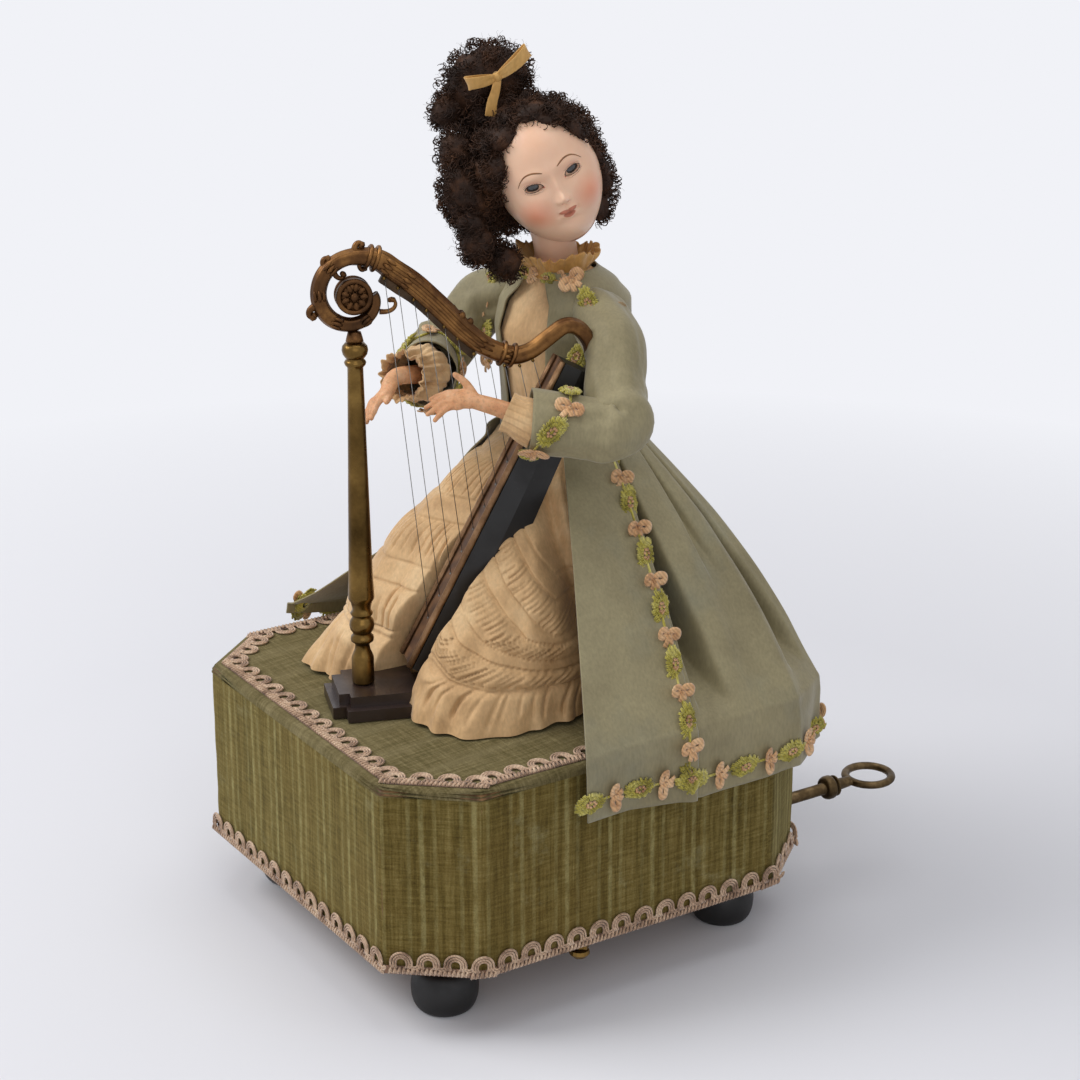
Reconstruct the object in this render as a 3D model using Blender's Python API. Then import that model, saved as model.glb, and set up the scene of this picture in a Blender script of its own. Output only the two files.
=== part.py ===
"""Musical automaton: a lady plays a harp on a velvet covered case with a key wound clockwork inside.

Metres, +Z up. The lady looks along -Y, her left side is +X, and the winding key leaves the back along +Y.
The origin is on the floor, under the middle of the whole object's box.
"""
import math

import bmesh
import bpy
from mathutils import Matrix, Vector

MM = 0.001
GAP = 0.3 * MM

# Case
CASE_W = 257 * MM
CASE_D = 265.5 * MM
CHAMFER_X = 33.3 * MM
CHAMFER_Y = 40.5 * MM
FOOT_H = 36 * MM
FOOT_R = 18 * MM
FOOT_PAD_R = 12.5 * MM
FOOT_INSET = 42.3 * MM
SIDE_H = 104 * MM
BOARD = 6 * MM
TOP_BOARD = 8 * MM
WALL = 8 * MM
VELVET = 1.0 * MM
EDGE_ROUND = 4.5 * MM
VELVET_RIM = 7 * MM
GIMP_T = 1.0 * MM
GIMP_TOP_W = 12 * MM
GIMP_TOP_INSET = 5.5 * MM
GIMP_SIDE_H = 14 * MM
ROD_SLOT_W = 62 * MM
ROD_SLOT_D = 44 * MM

TOP_Z = FOOT_H + SIDE_H
FLOOR_Z = FOOT_H + BOARD
VELVET_IN = VELVET + GAP

# Winding key and its arbor
KEY_X = CASE_W / 2 - 40.5 * MM
KEY_Z = 61 * MM
ARBOR_R = 3.2 * MM
KEY_HOLE_R = 6 * MM
KEY_SHAFT_R = 3.4 * MM
KEY_SHAFT_L = 27 * MM
KEY_COLLAR_R = 6.8 * MM
KEY_COLLAR_L = 9 * MM
KEY_BOW_R = 15.5 * MM
KEY_BOW_WIRE = 2.4 * MM
KEY_BOW_Y = 60 * MM

# Movement
PLATE_T = 2.5 * MM
PLATE_FRONT_Y = 52 * MM
PLATE_SPACE = 46 * MM
PLATE_BACK_Y = PLATE_FRONT_Y + PLATE_T + PLATE_SPACE
PLATE_TOP = 72 * MM
PLATE_X0 = KEY_X - 102 * MM
PLATE_X1 = KEY_X + 16 * MM
PIVOT_R = 1.5 * MM
RUN_GAP = 0.25 * MM
MODULE = 0.9 * MM
GREAT_TEETH = 40
CAM_PINION_TEETH = 10
CAM_WHEEL_TEETH = 30
THIRD_PINION_TEETH = 10
THIRD_WHEEL_TEETH = 30
FLY_PINION_TEETH = 10
CYLINDER_WHEEL_TEETH = 30
RATCHET_TEETH = 12
WHEEL_T = 2 * MM
BARREL_R = 15 * MM
BARREL_L = 20 * MM
CAM_T = 2.4 * MM
CAM_STEP = 4 * MM
CAM_R = 11 * MM
FOLLOWER_GAP = 1.3 * MM
FLY_R = 12 * MM
CYLINDER_R = 11 * MM
CYLINDER_L = 34 * MM
ROD_R = 1.1 * MM

# Harp
HARP_FOOT = Vector((0, -87.5, 153)) * MM
HARP_YAW = math.radians(20)
NECK_R = 4.6 * MM
VOLUTE_W = 212 * MM
COLUMN_TOP = VOLUTE_W - 24 * MM
STRINGS = 11
STRING_R = 0.35 * MM

# Lady
TORSO = Vector((-11, 42, 0)) * MM
TORSO_YAW = math.radians(12)
SHOULDER_Z = 343 * MM
SHOULDER_HALF = 46 * MM
NECK_BASE_Z = 362 * MM
HEAD = Vector((-6, 33, 412)) * MM
HEAD_YAW = math.radians(65)
HEAD_ROLL = math.radians(-27)
HEAD_PITCH = math.radians(4)
HEAD_W = 54 * MM
HEAD_D = 62 * MM
HEAD_H = 76 * MM


def clear_scene():
    for thing in list(bpy.data.objects):
        bpy.data.objects.remove(thing, do_unlink=True)


def material(name, colour, roughness, metallic=0.0):
    made = bpy.data.materials.new(name)
    made.use_nodes = True
    shader = made.node_tree.nodes["Principled BSDF"]
    shader.inputs["Base Color"].default_value = (*colour, 1)
    shader.inputs["Roughness"].default_value = roughness
    shader.inputs["Metallic"].default_value = metallic
    return made


FINISHES = {
    "wood": ((0.30, 0.20, 0.12), 0.6, 0),
    "black": ((0.02, 0.02, 0.02), 0.3, 0),
    "velvet": ((0.28, 0.26, 0.13), 0.9, 0),
    "braid": ((0.6, 0.45, 0.33), 0.8, 0),
    "brass": ((0.6, 0.45, 0.2), 0.35, 1),
    "gilt": ((0.3, 0.18, 0.08), 0.4, 0.6),
    "bronze": ((0.2, 0.16, 0.11), 0.4, 1),
    "steel": ((0.45, 0.45, 0.45), 0.35, 1),
    "bisque": ((0.85, 0.62, 0.55), 0.45, 0),
    "hair": ((0.09, 0.05, 0.03), 0.8, 0),
    "ribbon": ((0.65, 0.47, 0.2), 0.6, 0),
    "silk": ((0.62, 0.5, 0.32), 0.6, 0),
    "coat_silk": ((0.27, 0.29, 0.21), 0.7, 0),
    "hand_paint": ((0.62, 0.38, 0.2), 0.5, 0),
    "shoe": ((0.6, 0.42, 0.1), 0.4, 0),
    "paper_mache": ((0.45, 0.38, 0.3), 0.9, 0),
}


def finish_mesh(name, bm, finish, smooth=True):
    """Turn a bmesh into a named object with outward faces and its own material."""
    bmesh.ops.recalc_face_normals(bm, faces=bm.faces)
    mesh = bpy.data.meshes.new(name)
    bm.to_mesh(mesh)
    bm.free()
    if smooth:
        mesh.shade_smooth()
        mesh.set_sharp_from_angle(angle=math.radians(35))
    made = bpy.data.objects.new(name, mesh)
    colour, roughness, metallic = FINISHES[finish]
    mesh.materials.append(material(name, colour, roughness, metallic))
    bpy.context.collection.objects.link(made)
    return made


def outline_prism(points, low, high, bm=None, hole=None):
    """Extrude a closed outline along Z; a second outline with as many points makes it a ring."""
    bm = bm or bmesh.new()
    if hole:
        rings = [[bm.verts.new((x, y, z)) for x, y in ring]
                 for ring, z in ((points, low), (points, high), (hole, high), (hole, low))]
        count = len(points)
        for a, b in zip(rings, rings[1:] + rings[:1]):
            for i in range(count):
                j = (i + 1) % count
                bm.faces.new((a[i], a[j], b[j], b[i]))
        return bm
    face = bm.faces.new([bm.verts.new((x, y, low)) for x, y in points])
    moved = bmesh.ops.extrude_face_region(bm, geom=[face])["geom"]
    lifted = [part for part in moved if isinstance(part, bmesh.types.BMVert)]
    bmesh.ops.translate(bm, verts=lifted, vec=(0, 0, high - low))
    return bm


def turn(profile, steps, bm=None):
    """Revolve a profile of (radius, z) about Z; ends on the axis close it, a closed list makes a ring."""
    bm = bm or bmesh.new()
    points = [bm.verts.new((r, 0, z)) for r, z in profile]
    edges = [bm.edges.new(pair) for pair in zip(points, points[1:])]
    if profile[0][0] > 0:
        edges.append(bm.edges.new((points[-1], points[0])))
    bmesh.ops.spin(bm, geom=points + edges, cent=(0, 0, 0), axis=(0, 0, 1),
                   angle=math.tau, steps=steps, use_merge=True)
    bmesh.ops.remove_doubles(bm, verts=bm.verts, dist=0.002 * MM)
    return bm


def skin(rings, bm=None, closed=True):
    """Join rings of equal count into one surface with flat ends."""
    bm = bm or bmesh.new()
    made = [[bm.verts.new(p) for p in ring] for ring in rings]
    count = len(made[0])
    for a, b in zip(made, made[1:]):
        for i in range(count):
            j = (i + 1) % count
            bm.faces.new((a[i], a[j], b[j], b[i]))
    if closed:
        bm.faces.new(made[0])
        bm.faces.new(made[-1])
    return bm


def sheet(outer, inner, bm=None):
    """A cloth of real thickness between two grids of points, open at no edge."""
    bm = bm or bmesh.new()
    rows, columns = len(outer), len(outer[0])
    front = [[bm.verts.new(p) for p in row] for row in outer]
    back = [[bm.verts.new(p) for p in row] for row in inner]
    for grid in (front, back):
        for i in range(rows - 1):
            for j in range(columns - 1):
                bm.faces.new((grid[i][j], grid[i][j + 1], grid[i + 1][j + 1], grid[i + 1][j]))
    rim = [(0, j) for j in range(columns)] + [(i, columns - 1) for i in range(1, rows)]
    rim += [(rows - 1, j) for j in range(columns - 2, -1, -1)] + [(i, 0) for i in range(rows - 2, 0, -1)]
    for (i, j), (k, m) in zip(rim, rim[1:] + rim[:1]):
        bm.faces.new((front[i][j], front[k][m], back[k][m], back[i][j]))
    return bm


def ring_about(centre, axis, radius, sides, squash=1.0, spin=0.0):
    """Points of a circle or an ellipse about an axis."""
    axis = Vector(axis).normalized()
    side = axis.orthogonal().normalized()
    if abs(axis.z) < 0.999:
        side = Vector((0, 0, 1)).cross(axis).normalized()
    up = axis.cross(side)
    angles = [spin + math.tau * i / sides for i in range(sides)]
    return [Vector(centre) + side * radius * math.cos(a) + up * radius * squash * math.sin(a) for a in angles]


def limb(path, radii, sides, squash=1.0, bm=None):
    """A tapering round limb through points."""
    rings = []
    for i, point in enumerate(path):
        ahead = path[min(i + 1, len(path) - 1)]
        behind = path[max(i - 1, 0)]
        rings.append(ring_about(point, Vector(ahead) - Vector(behind), radii[i], sides, squash))
    return skin(rings, bm)


def boolean(target, cutter, operation="DIFFERENCE"):
    step = target.modifiers.new(operation.title(), "BOOLEAN")
    step.operation = operation
    step.solver = "EXACT"
    step.object = cutter
    cutter.hide_render = True
    cutter.display_type = "WIRE"


def box_cutter(name, low, high):
    points = [(low[0], low[1]), (high[0], low[1]), (high[0], high[1]), (low[0], high[1])]
    return finish_mesh(name, outline_prism(points, low[2], high[2]), "wood", smooth=False)


def rod_cutter(name, x, y0, y1, z, radius, steps=24):
    """A round cutter along Y."""
    made = finish_mesh(name, turn([(0, y0), (radius, y0), (radius, y1), (0, y1)], steps), "wood")
    made.data.transform(ALONG_Y)
    made.data.transform(Matrix.Translation((x, 0, z)))
    return made


ALONG_Y = Matrix.Rotation(-math.pi / 2, 4, "X")


def octagon(inset=0.0):
    """The case's chamfered outline, moved inward by an equal distance on every side."""
    half_w, half_d = CASE_W / 2, CASE_D / 2
    slope = math.hypot(CHAMFER_X, CHAMFER_Y)
    reach = (half_w * CHAMFER_Y + half_d * CHAMFER_X - CHAMFER_X * CHAMFER_Y) - inset * slope
    w, d = half_w - inset, half_d - inset
    x_at = (reach - d * CHAMFER_X) / CHAMFER_Y
    y_at = (reach - w * CHAMFER_Y) / CHAMFER_X
    quarter = [(w, y_at), (x_at, d)]
    back = [(-x, y) for x, y in reversed(quarter)]
    points = quarter + back
    return points + [(-x, -y) for x, y in points]


def make_case():
    inner = VELVET_IN + WALL
    walls = finish_mesh("case_walls", outline_prism(
        octagon(VELVET_IN), FLOOR_Z + GAP, TOP_Z - VELVET - GAP - TOP_BOARD - GAP, hole=octagon(inner)),
        "wood", smooth=False)
    hole = rod_cutter("key_hole_cutter", KEY_X, CASE_D / 2 - 20 * MM, CASE_D / 2 + 5 * MM, KEY_Z, KEY_HOLE_R)
    boolean(walls, hole)
    board = finish_mesh("bottom_board", outline_prism(octagon(VELVET_IN), FOOT_H, FLOOR_Z), "wood",
                        smooth=False)
    stop_hole = finish_mesh("stop_hole_cutter", turn(
        [(0, FOOT_H - MM), (STOP_PIVOT_R + RUN_GAP, FOOT_H - MM), (STOP_PIVOT_R + RUN_GAP, FLOOR_Z + MM),
         (0, FLOOR_Z + MM)], 16), "wood")
    stop_hole.data.transform(Matrix.Translation((STOP_X, STOP_Y, 0)))
    boolean(board, stop_hole)
    slot = box_cutter("rod_slot_cutter",
                      (TORSO.x - ROD_SLOT_W / 2, ROD_Y - ROD_SLOT_D / 2, TOP_Z - 2 * TOP_BOARD),
                      (TORSO.x + ROD_SLOT_W / 2, ROD_Y + ROD_SLOT_D / 2, TOP_Z + TOP_BOARD))
    top = finish_mesh("case_top_board", outline_prism(
        octagon(VELVET_IN), TOP_Z - VELVET - GAP - TOP_BOARD, TOP_Z - VELVET - GAP), "wood", smooth=False)
    rounding = top.modifiers.new("Rounded edge", "BEVEL")
    rounding.width = EDGE_ROUND - VELVET
    rounding.segments = 3
    rounding.limit_method = "ANGLE"
    rounding.angle_limit = math.radians(60)
    boolean(top, slot)
    sides = finish_mesh("velvet_sides", outline_prism(
        octagon(), FOOT_H, TOP_Z - VELVET_RIM - GAP, hole=octagon(VELVET)), "velvet", smooth=False)
    hole_out = rod_cutter("velvet_hole_cutter", KEY_X, CASE_D / 2 - 8 * MM, CASE_D / 2 + 5 * MM, KEY_Z,
                          KEY_HOLE_R)
    boolean(sides, hole_out)
    make_velvet_top(slot)
    low = TOP_Z + GAP
    finish_mesh("gimp_top", outline_prism(
        octagon(GIMP_TOP_INSET), low, low + GIMP_T, hole=octagon(GIMP_TOP_INSET + GIMP_TOP_W)),
        "braid", smooth=False)
    finish_mesh("gimp_bottom", outline_prism(
        octagon(-GAP - GIMP_T), FOOT_H, FOOT_H + GIMP_SIDE_H, hole=octagon(-GAP)), "braid", smooth=False)
    make_feet()


def make_velvet_top(slot):
    """A shallow cap of velvet whose rim comes down over the rounded board."""
    bm = bmesh.new()
    steps = 3
    outer = [[Vector((x, y, TOP_Z - VELVET_RIM)) for x, y in octagon()]]
    for i in range(steps + 1):
        angle = math.pi / 2 * i / steps
        inset = EDGE_ROUND * (1 - math.cos(angle))
        outer.append([Vector((x, y, TOP_Z - EDGE_ROUND * (1 - math.sin(angle)))) for x, y in octagon(inset)])
    core = EDGE_ROUND - VELVET
    inner = []
    for i in range(steps, -1, -1):
        angle = math.pi / 2 * i / steps
        inset = VELVET + core * (1 - math.cos(angle))
        inner.append([Vector((x, y, TOP_Z - VELVET - core * (1 - math.sin(angle)))) for x,
                      y in octagon(inset)])
    inner.append([Vector((x, y, TOP_Z - VELVET_RIM)) for x, y in octagon(VELVET)])
    made = [[bm.verts.new(p) for p in ring] for ring in outer + inner]
    for a, b in zip(made[:steps + 2] + made[steps + 2:], made[1:steps + 2] + [None] + made[steps + 3:]):
        if b is None:
            continue
        for i in range(8):
            bm.faces.new((a[i], a[(i + 1) % 8], b[(i + 1) % 8], b[i]))
    bm.faces.new(made[steps + 1])
    bm.faces.new(made[steps + 2])
    for i in range(8):
        bm.faces.new((made[-1][i], made[-1][(i + 1) % 8], made[0][(i + 1) % 8], made[0][i]))
    velvet = finish_mesh("velvet_top", bm, "velvet")
    boolean(velvet, slot)


def make_feet():
    """Turned bun feet: a ring and cove above a flattened ball."""
    ball_h = FOOT_H * 0.66
    bulge = [(FOOT_PAD_R + (FOOT_R - FOOT_PAD_R) * math.sin(a), ball_h / 2 - ball_h / 2 * math.cos(a))
             for a in [math.pi * i / 6 for i in range(1, 6)]]
    profile = [(0, 0), (FOOT_PAD_R, 0)] + bulge
    profile += [(FOOT_R * 0.6, ball_h + MM), (FOOT_R * 0.55, FOOT_H * 0.82), (FOOT_R * 0.75, FOOT_H * 0.88),
                (FOOT_R * 0.75, FOOT_H - GAP), (0, FOOT_H - GAP)]
    for name, sx, sy in (("foot_front_left", 1, -1), ("foot_front_right", -1, -1),
                         ("foot_back_left", 1, 1), ("foot_back_right", -1, 1)):
        foot = finish_mesh(name, turn(profile, 14), "black")
        foot.location = (sx * (CASE_W / 2 - FOOT_INSET), sy * (CASE_D / 2 - FOOT_INSET), 0)


def gear_outline(teeth, phase=0.0):
    """A spur gear's outline: four points a tooth, with a little play."""
    points = []
    pitch = math.tau / teeth
    radius = teeth / 2 * MODULE
    flank = ((radius - 1.1 * MODULE, 0.27), (radius + 0.85 * MODULE, 0.09))
    for i in range(teeth):
        middle = (i + phase) * pitch
        for r, share in flank:
            points.append((r * math.cos(middle - share * pitch), r * math.sin(middle - share * pitch)))
        for r, share in reversed(flank):
            points.append((r * math.cos(middle + share * pitch), r * math.sin(middle + share * pitch)))
    return points


def gear_radius(teeth):
    return teeth / 2 * MODULE


def polar(start, distance, degrees):
    """A point in the movement's X and Z at a distance and an angle from another."""
    angle = math.radians(degrees)
    return start[0] + distance * math.cos(angle), start[1] + distance * math.sin(angle)


BARREL_AT = (KEY_X, KEY_Z)
CAM_ANGLE = 155
THIRD_ANGLE = 170
FLY_ANGLE = 150
CYLINDER_ANGLE = 80
CAM_AT = polar(BARREL_AT, gear_radius(GREAT_TEETH) + gear_radius(CAM_PINION_TEETH), CAM_ANGLE)
THIRD_AT = polar(CAM_AT, gear_radius(CAM_WHEEL_TEETH) + gear_radius(THIRD_PINION_TEETH), THIRD_ANGLE)
FLY_AT = polar(THIRD_AT, gear_radius(THIRD_WHEEL_TEETH) + gear_radius(FLY_PINION_TEETH), FLY_ANGLE)
CYLINDER_AT = polar(BARREL_AT, gear_radius(GREAT_TEETH) + gear_radius(CYLINDER_WHEEL_TEETH), CYLINDER_ANGLE)
LEVER_AXLE_AT = (38 * MM, 88 * MM)
SPACE_Y0 = PLATE_FRONT_Y + PLATE_T
GREAT_Y = PLATE_BACK_Y - 5 * MM
THIRD_Y = SPACE_Y0 + 29 * MM
CAM_WHEEL_Y = SPACE_Y0 + 17 * MM
CAM_Y0 = SPACE_Y0 + 1.5 * MM


def mesh_phase(angle, teeth, other_teeth, other_phase=0.0):
    """Turn a gear so that one of its gaps meets the other's tooth along their line of centres."""
    line = -math.radians(angle)
    other = line / math.tau * other_teeth - other_phase
    own = (line + math.pi) / math.tau * teeth
    return (own + other) % 1.0 + 0.5


def gear_body(teeth, low, high, phase):
    return outline_prism(gear_outline(teeth, phase), low, high)


def arbor(name, at, pieces, finish):
    """Join the pieces of one turning part with unions and set its origin on its axis."""
    main = finish_mesh(name, pieces[0], finish)
    for number, piece in enumerate(pieces[1:]):
        extra = finish_mesh(f"{name}_union_{number}", piece, finish)
        boolean(main, extra, "UNION")
        extra.parent = main
    main.rotation_euler = (-math.pi / 2, 0, 0)
    main.location = (at[0], 0, at[1])
    return main


def shaft(low, high, radius, steps=16):
    return turn([(0, low), (radius, low), (radius, high), (0, high)], steps)


def pivoted(low, high, radius):
    """A shaft between the plates with a thinner pivot running in each."""
    return turn([(0, low - PLATE_T), (PIVOT_R, low - PLATE_T), (PIVOT_R, low + GAP), (radius, low + GAP),
                 (radius, high - GAP), (PIVOT_R, high - GAP), (PIVOT_R, high + PLATE_T),
                 (0, high + PLATE_T)], 12)


def make_plates():
    """Two brass plates; the back one carries the pillars, and both have bores for every arbor."""
    low, high = FLOOR_Z + GAP, FLOOR_Z + PLATE_TOP
    bores = [(BARREL_AT, ARBOR_R), (CAM_AT, PIVOT_R), (THIRD_AT, PIVOT_R), (FLY_AT, PIVOT_R),
             (CYLINDER_AT, PIVOT_R)]
    for name, y in (("plate_front", PLATE_FRONT_Y), ("plate_back", PLATE_BACK_Y)):
        outline = [(PLATE_X0, low), (PLATE_X1, low), (PLATE_X1, high - 5 * MM), (PLATE_X1 - 5 * MM, high),
                   (PLATE_X0 + 10 * MM, high), (PLATE_X0, high - 10 * MM)]
        bm = bmesh.new()
        face = bm.faces.new([bm.verts.new((x, y, z)) for x, z in outline])
        moved = bmesh.ops.extrude_face_region(bm, geom=[face])["geom"]
        bmesh.ops.translate(bm, verts=[p for p in moved if isinstance(p, bmesh.types.BMVert)],
                            vec=(0, PLATE_T, 0))
        plate = finish_mesh(name, bm, "brass", smooth=False)
        for number, (at, radius) in enumerate(bores):
            cutter = rod_cutter(f"{name}_bore_{number}", at[0], y - MM, y + PLATE_T + MM, at[1],
                                radius + RUN_GAP, 10)
            boolean(plate, cutter)
    corners = [(PLATE_X0 + 6 * MM, low + 6 * MM), (KEY_X - 30 * MM, low + 6 * MM),
               (PLATE_X0 + 12 * MM, high - 8 * MM), (PLATE_X1 - 9 * MM, high - 3.2 * MM)]
    for number, (at, radius) in enumerate([(at, 2.2 * MM) for at in corners] + [(LEVER_AXLE_AT, PIVOT_R)]):
        pillar = finish_mesh(f"pillar_{number + 1}", shaft(SPACE_Y0 + GAP, PLATE_BACK_Y + MM, radius, 12),
                             "brass")
        pillar.data.transform(ALONG_Y)
        pillar.data.transform(Matrix.Translation((at[0], 0, at[1])))
        boolean(plate, pillar, "UNION")


def make_barrel():
    bore = ARBOR_R + RUN_GAP
    wheel = gear_body(GREAT_TEETH, GREAT_Y, GREAT_Y + WHEEL_T, 0.0)
    drum = shaft(GREAT_Y - BARREL_L, GREAT_Y + WHEEL_T / 2, BARREL_R, 22)
    barrel = arbor("spring_barrel", BARREL_AT, [wheel, drum], "brass")
    hollow = finish_mesh("spring_barrel_bore", shaft(GREAT_Y - 2 * BARREL_L, GREAT_Y + BARREL_L, bore, 16),
                         "brass")
    hollow.parent = barrel
    boolean(barrel, hollow)
    back = CASE_D / 2
    ratchet_y = PLATE_BACK_Y + PLATE_T + GAP
    teeth = []
    for i in range(RATCHET_TEETH):
        start = math.tau * i / RATCHET_TEETH
        teeth += [(9 * MM * math.cos(start), 9 * MM * math.sin(start)),
                  (6.8 * MM * math.cos(start + 0.03), 6.8 * MM * math.sin(start + 0.03))]
    ratchet = outline_prism(teeth, ratchet_y, ratchet_y + WHEEL_T)
    rod = shaft(PLATE_FRONT_Y - MM, back - WALL - MM, ARBOR_R)
    arbor("winding_arbor", BARREL_AT, [rod, ratchet], "steel")
    make_key(back)


def make_key(back):
    """The key: a steel shaft, a turned collar with small rings, and a flat ring to hold."""
    tip = back + KEY_SHAFT_L
    collar = tip + KEY_COLLAR_L
    profile = [(0, back - WALL - MM + GAP), (KEY_SHAFT_R, back - WALL - MM + GAP), (KEY_SHAFT_R, tip),
               (KEY_COLLAR_R * 0.8, tip), (KEY_COLLAR_R, tip + 2 * MM), (KEY_COLLAR_R, collar - 4 * MM),
               (KEY_COLLAR_R * 0.62, collar - 3 * MM), (KEY_COLLAR_R * 0.9, collar - MM),
               (KEY_COLLAR_R * 0.5, collar + MM), (KEY_COLLAR_R * 0.45, back + KEY_BOW_Y - KEY_BOW_R + MM),
               (0, back + KEY_BOW_Y - KEY_BOW_R + MM)]
    stem = turn(profile, 14)
    bow = bmesh.new()
    sides, steps = 6, 20
    rings = []
    for i in range(steps):
        a = math.tau * i / steps
        centre = Vector(((KEY_BOW_R - KEY_BOW_WIRE) * math.cos(a), 0,
                         back + KEY_BOW_Y + (KEY_BOW_R - KEY_BOW_WIRE) * math.sin(a)))
        out = Vector((math.cos(a), 0, math.sin(a)))
        rings.append([centre + out * KEY_BOW_WIRE * math.cos(b)
                      + Vector((0, KEY_BOW_WIRE * 0.9 * math.sin(b), 0))
                      for b in [math.tau * k / sides for k in range(sides)]])
    made = [[bow.verts.new(p) for p in ring] for ring in rings]
    for i in range(steps):
        a, b = made[i], made[(i + 1) % steps]
        for k in range(sides):
            bow.faces.new((a[k], a[(k + 1) % sides], b[(k + 1) % sides], b[k]))
    arbor("winding_key", BARREL_AT, [stem, bow], "bronze")


def make_click():
    """A sprung click whose beak rests between two ratchet teeth."""
    y = PLATE_BACK_Y + PLATE_T + GAP
    pivot = (KEY_X - 8 * MM, KEY_Z + 14 * MM)
    outline = [(-2.2, 2), (-2.2, -2), (3.6, -5.4), (5.4, -5.6), (4.6, -3.6), (2.2, 2)]
    body = outline_prism([(x * MM, -z * MM) for x, z in outline], y, y + WHEEL_T)
    arbor("click", pivot, [body], "steel")


def make_train():
    cam_phase = mesh_phase(CAM_ANGLE, CAM_PINION_TEETH, GREAT_TEETH)
    parts = [pivoted(SPACE_Y0, PLATE_BACK_Y, 2 * MM),
             gear_body(CAM_PINION_TEETH, GREAT_Y - MM, GREAT_Y + WHEEL_T + MM, cam_phase),
             gear_body(CAM_WHEEL_TEETH, CAM_WHEEL_Y, CAM_WHEEL_Y + WHEEL_T, 0.0)]
    for i in range(3):
        low = CAM_Y0 + i * CAM_STEP
        parts.append(cam_disc(low, low + CAM_T, math.radians(120) * i))
    arbor("cam_arbor", CAM_AT, parts, "brass")
    third_phase = mesh_phase(THIRD_ANGLE, THIRD_PINION_TEETH, CAM_WHEEL_TEETH)
    arbor("third_wheel", THIRD_AT, [
        pivoted(SPACE_Y0, PLATE_BACK_Y, 1.8 * MM),
        gear_body(THIRD_PINION_TEETH, CAM_WHEEL_Y - MM, CAM_WHEEL_Y + WHEEL_T + MM, third_phase),
        gear_body(THIRD_WHEEL_TEETH, THIRD_Y, THIRD_Y + WHEEL_T, 0.0)], "brass")
    fly_phase = mesh_phase(FLY_ANGLE, FLY_PINION_TEETH, THIRD_WHEEL_TEETH)
    fan_low, fan_high = THIRD_Y + 5 * MM, PLATE_BACK_Y - 3 * MM
    fan = outline_prism([(-FLY_R, -0.5 * MM), (FLY_R, -0.5 * MM), (FLY_R, 0.5 * MM), (-FLY_R, 0.5 * MM)],
                        fan_low, fan_high)
    arbor("fly", FLY_AT, [pivoted(SPACE_Y0, PLATE_BACK_Y, 1.8 * MM),
                          gear_body(FLY_PINION_TEETH, THIRD_Y - MM, THIRD_Y + WHEEL_T + MM, fly_phase),
                          fan], "brass")
    cylinder_phase = mesh_phase(CYLINDER_ANGLE, CYLINDER_WHEEL_TEETH, GREAT_TEETH)
    start = SPACE_Y0 + 2 * MM
    drum = turn([(0, start), (CYLINDER_R, start), (CYLINDER_R, start + CYLINDER_L), (0, start + CYLINDER_L)],
                20)
    arbor("music_cylinder", CYLINDER_AT, [
        pivoted(SPACE_Y0, PLATE_BACK_Y, 2 * MM), drum,
        gear_body(CYLINDER_WHEEL_TEETH, GREAT_Y, GREAT_Y + WHEEL_T, cylinder_phase)], "brass")


def cam_disc(low, high, start):
    """A cam whose edge rises and falls twice in a turn."""
    steps = 16
    points = []
    for i in range(steps):
        a = math.tau * i / steps
        r = CAM_R - 1.2 * MM * (1 - math.cos(2 * (a - start))) / 2
        points.append((r * math.cos(a), r * math.sin(a)))
    return outline_prism(points, low, high)


def make_comb():
    """A steel comb on its block: its teeth end just short of the cylinder."""
    tip = CYLINDER_AT[0] - CYLINDER_R - GAP
    root = tip - 10 * MM
    start, end = SPACE_Y0 + 3 * MM, SPACE_Y0 + CYLINDER_L
    teeth = 10
    pitch = (end - start) / teeth
    outline = [(root - 5 * MM, start), (root - 5 * MM, end)]
    for i in range(teeth):
        high = end - i * pitch
        outline += [(tip, high), (tip, high - 0.7 * pitch), (root, high - 0.7 * pitch), (root, high - pitch)]
    z = CYLINDER_AT[1]
    finish_mesh("comb", outline_prism(outline, z, z + 0.9 * MM), "steel", smooth=False)
    block = [(root - 4 * MM, SPACE_Y0 + GAP), (root, SPACE_Y0 + GAP), (root, PLATE_BACK_Y - GAP),
             (root - 4 * MM, PLATE_BACK_Y - GAP)]
    finish_mesh("comb_block", outline_prism(block, z - 4 * MM, z - GAP), "brass", smooth=False)


def make_levers():
    """Three levers on one axle: each rests on a cam and lifts a rod."""
    axle_x, axle_z = LEVER_AXLE_AT
    for i, (side, at) in enumerate(RODS.items()):
        y = CAM_Y0 + i * CAM_STEP
        reach = at[0] - axle_x
        follow = CAM_AT[0] - axle_x
        drop = CAM_AT[1] + CAM_R + FOLLOWER_GAP - axle_z
        outline = [(reach - 2 * MM, -2 * MM), (-4 * MM, -2.6 * MM), (follow - 3 * MM, drop),
                   (follow + MM, drop),
                   (follow + MM, drop + 3 * MM), (4 * MM, 3.4 * MM), (-4 * MM, 3.4 * MM),
                   (reach + 2 * MM, 0.6 * MM), (reach - 2 * MM, 0.6 * MM)]
        lever = arbor(f"{side}_lever", LEVER_AXLE_AT,
                      [outline_prism([(x, -z) for x, z in outline], y, y + CAM_T)],
                      "brass")
        bore = finish_mesh(f"{side}_lever_bore", shaft(y - MM, y + CAM_T + MM, PIVOT_R + RUN_GAP, 12),
                           "steel")
        bore.parent = lever
        boolean(lever, bore)
        top = at[2]
        low = axle_z + 0.6 * MM + GAP
        rod = finish_mesh(f"{side}_rod", shaft(low, top, ROD_R, 8), "steel")
        rod.location = (at[0], y + CAM_T / 2, 0)


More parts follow.
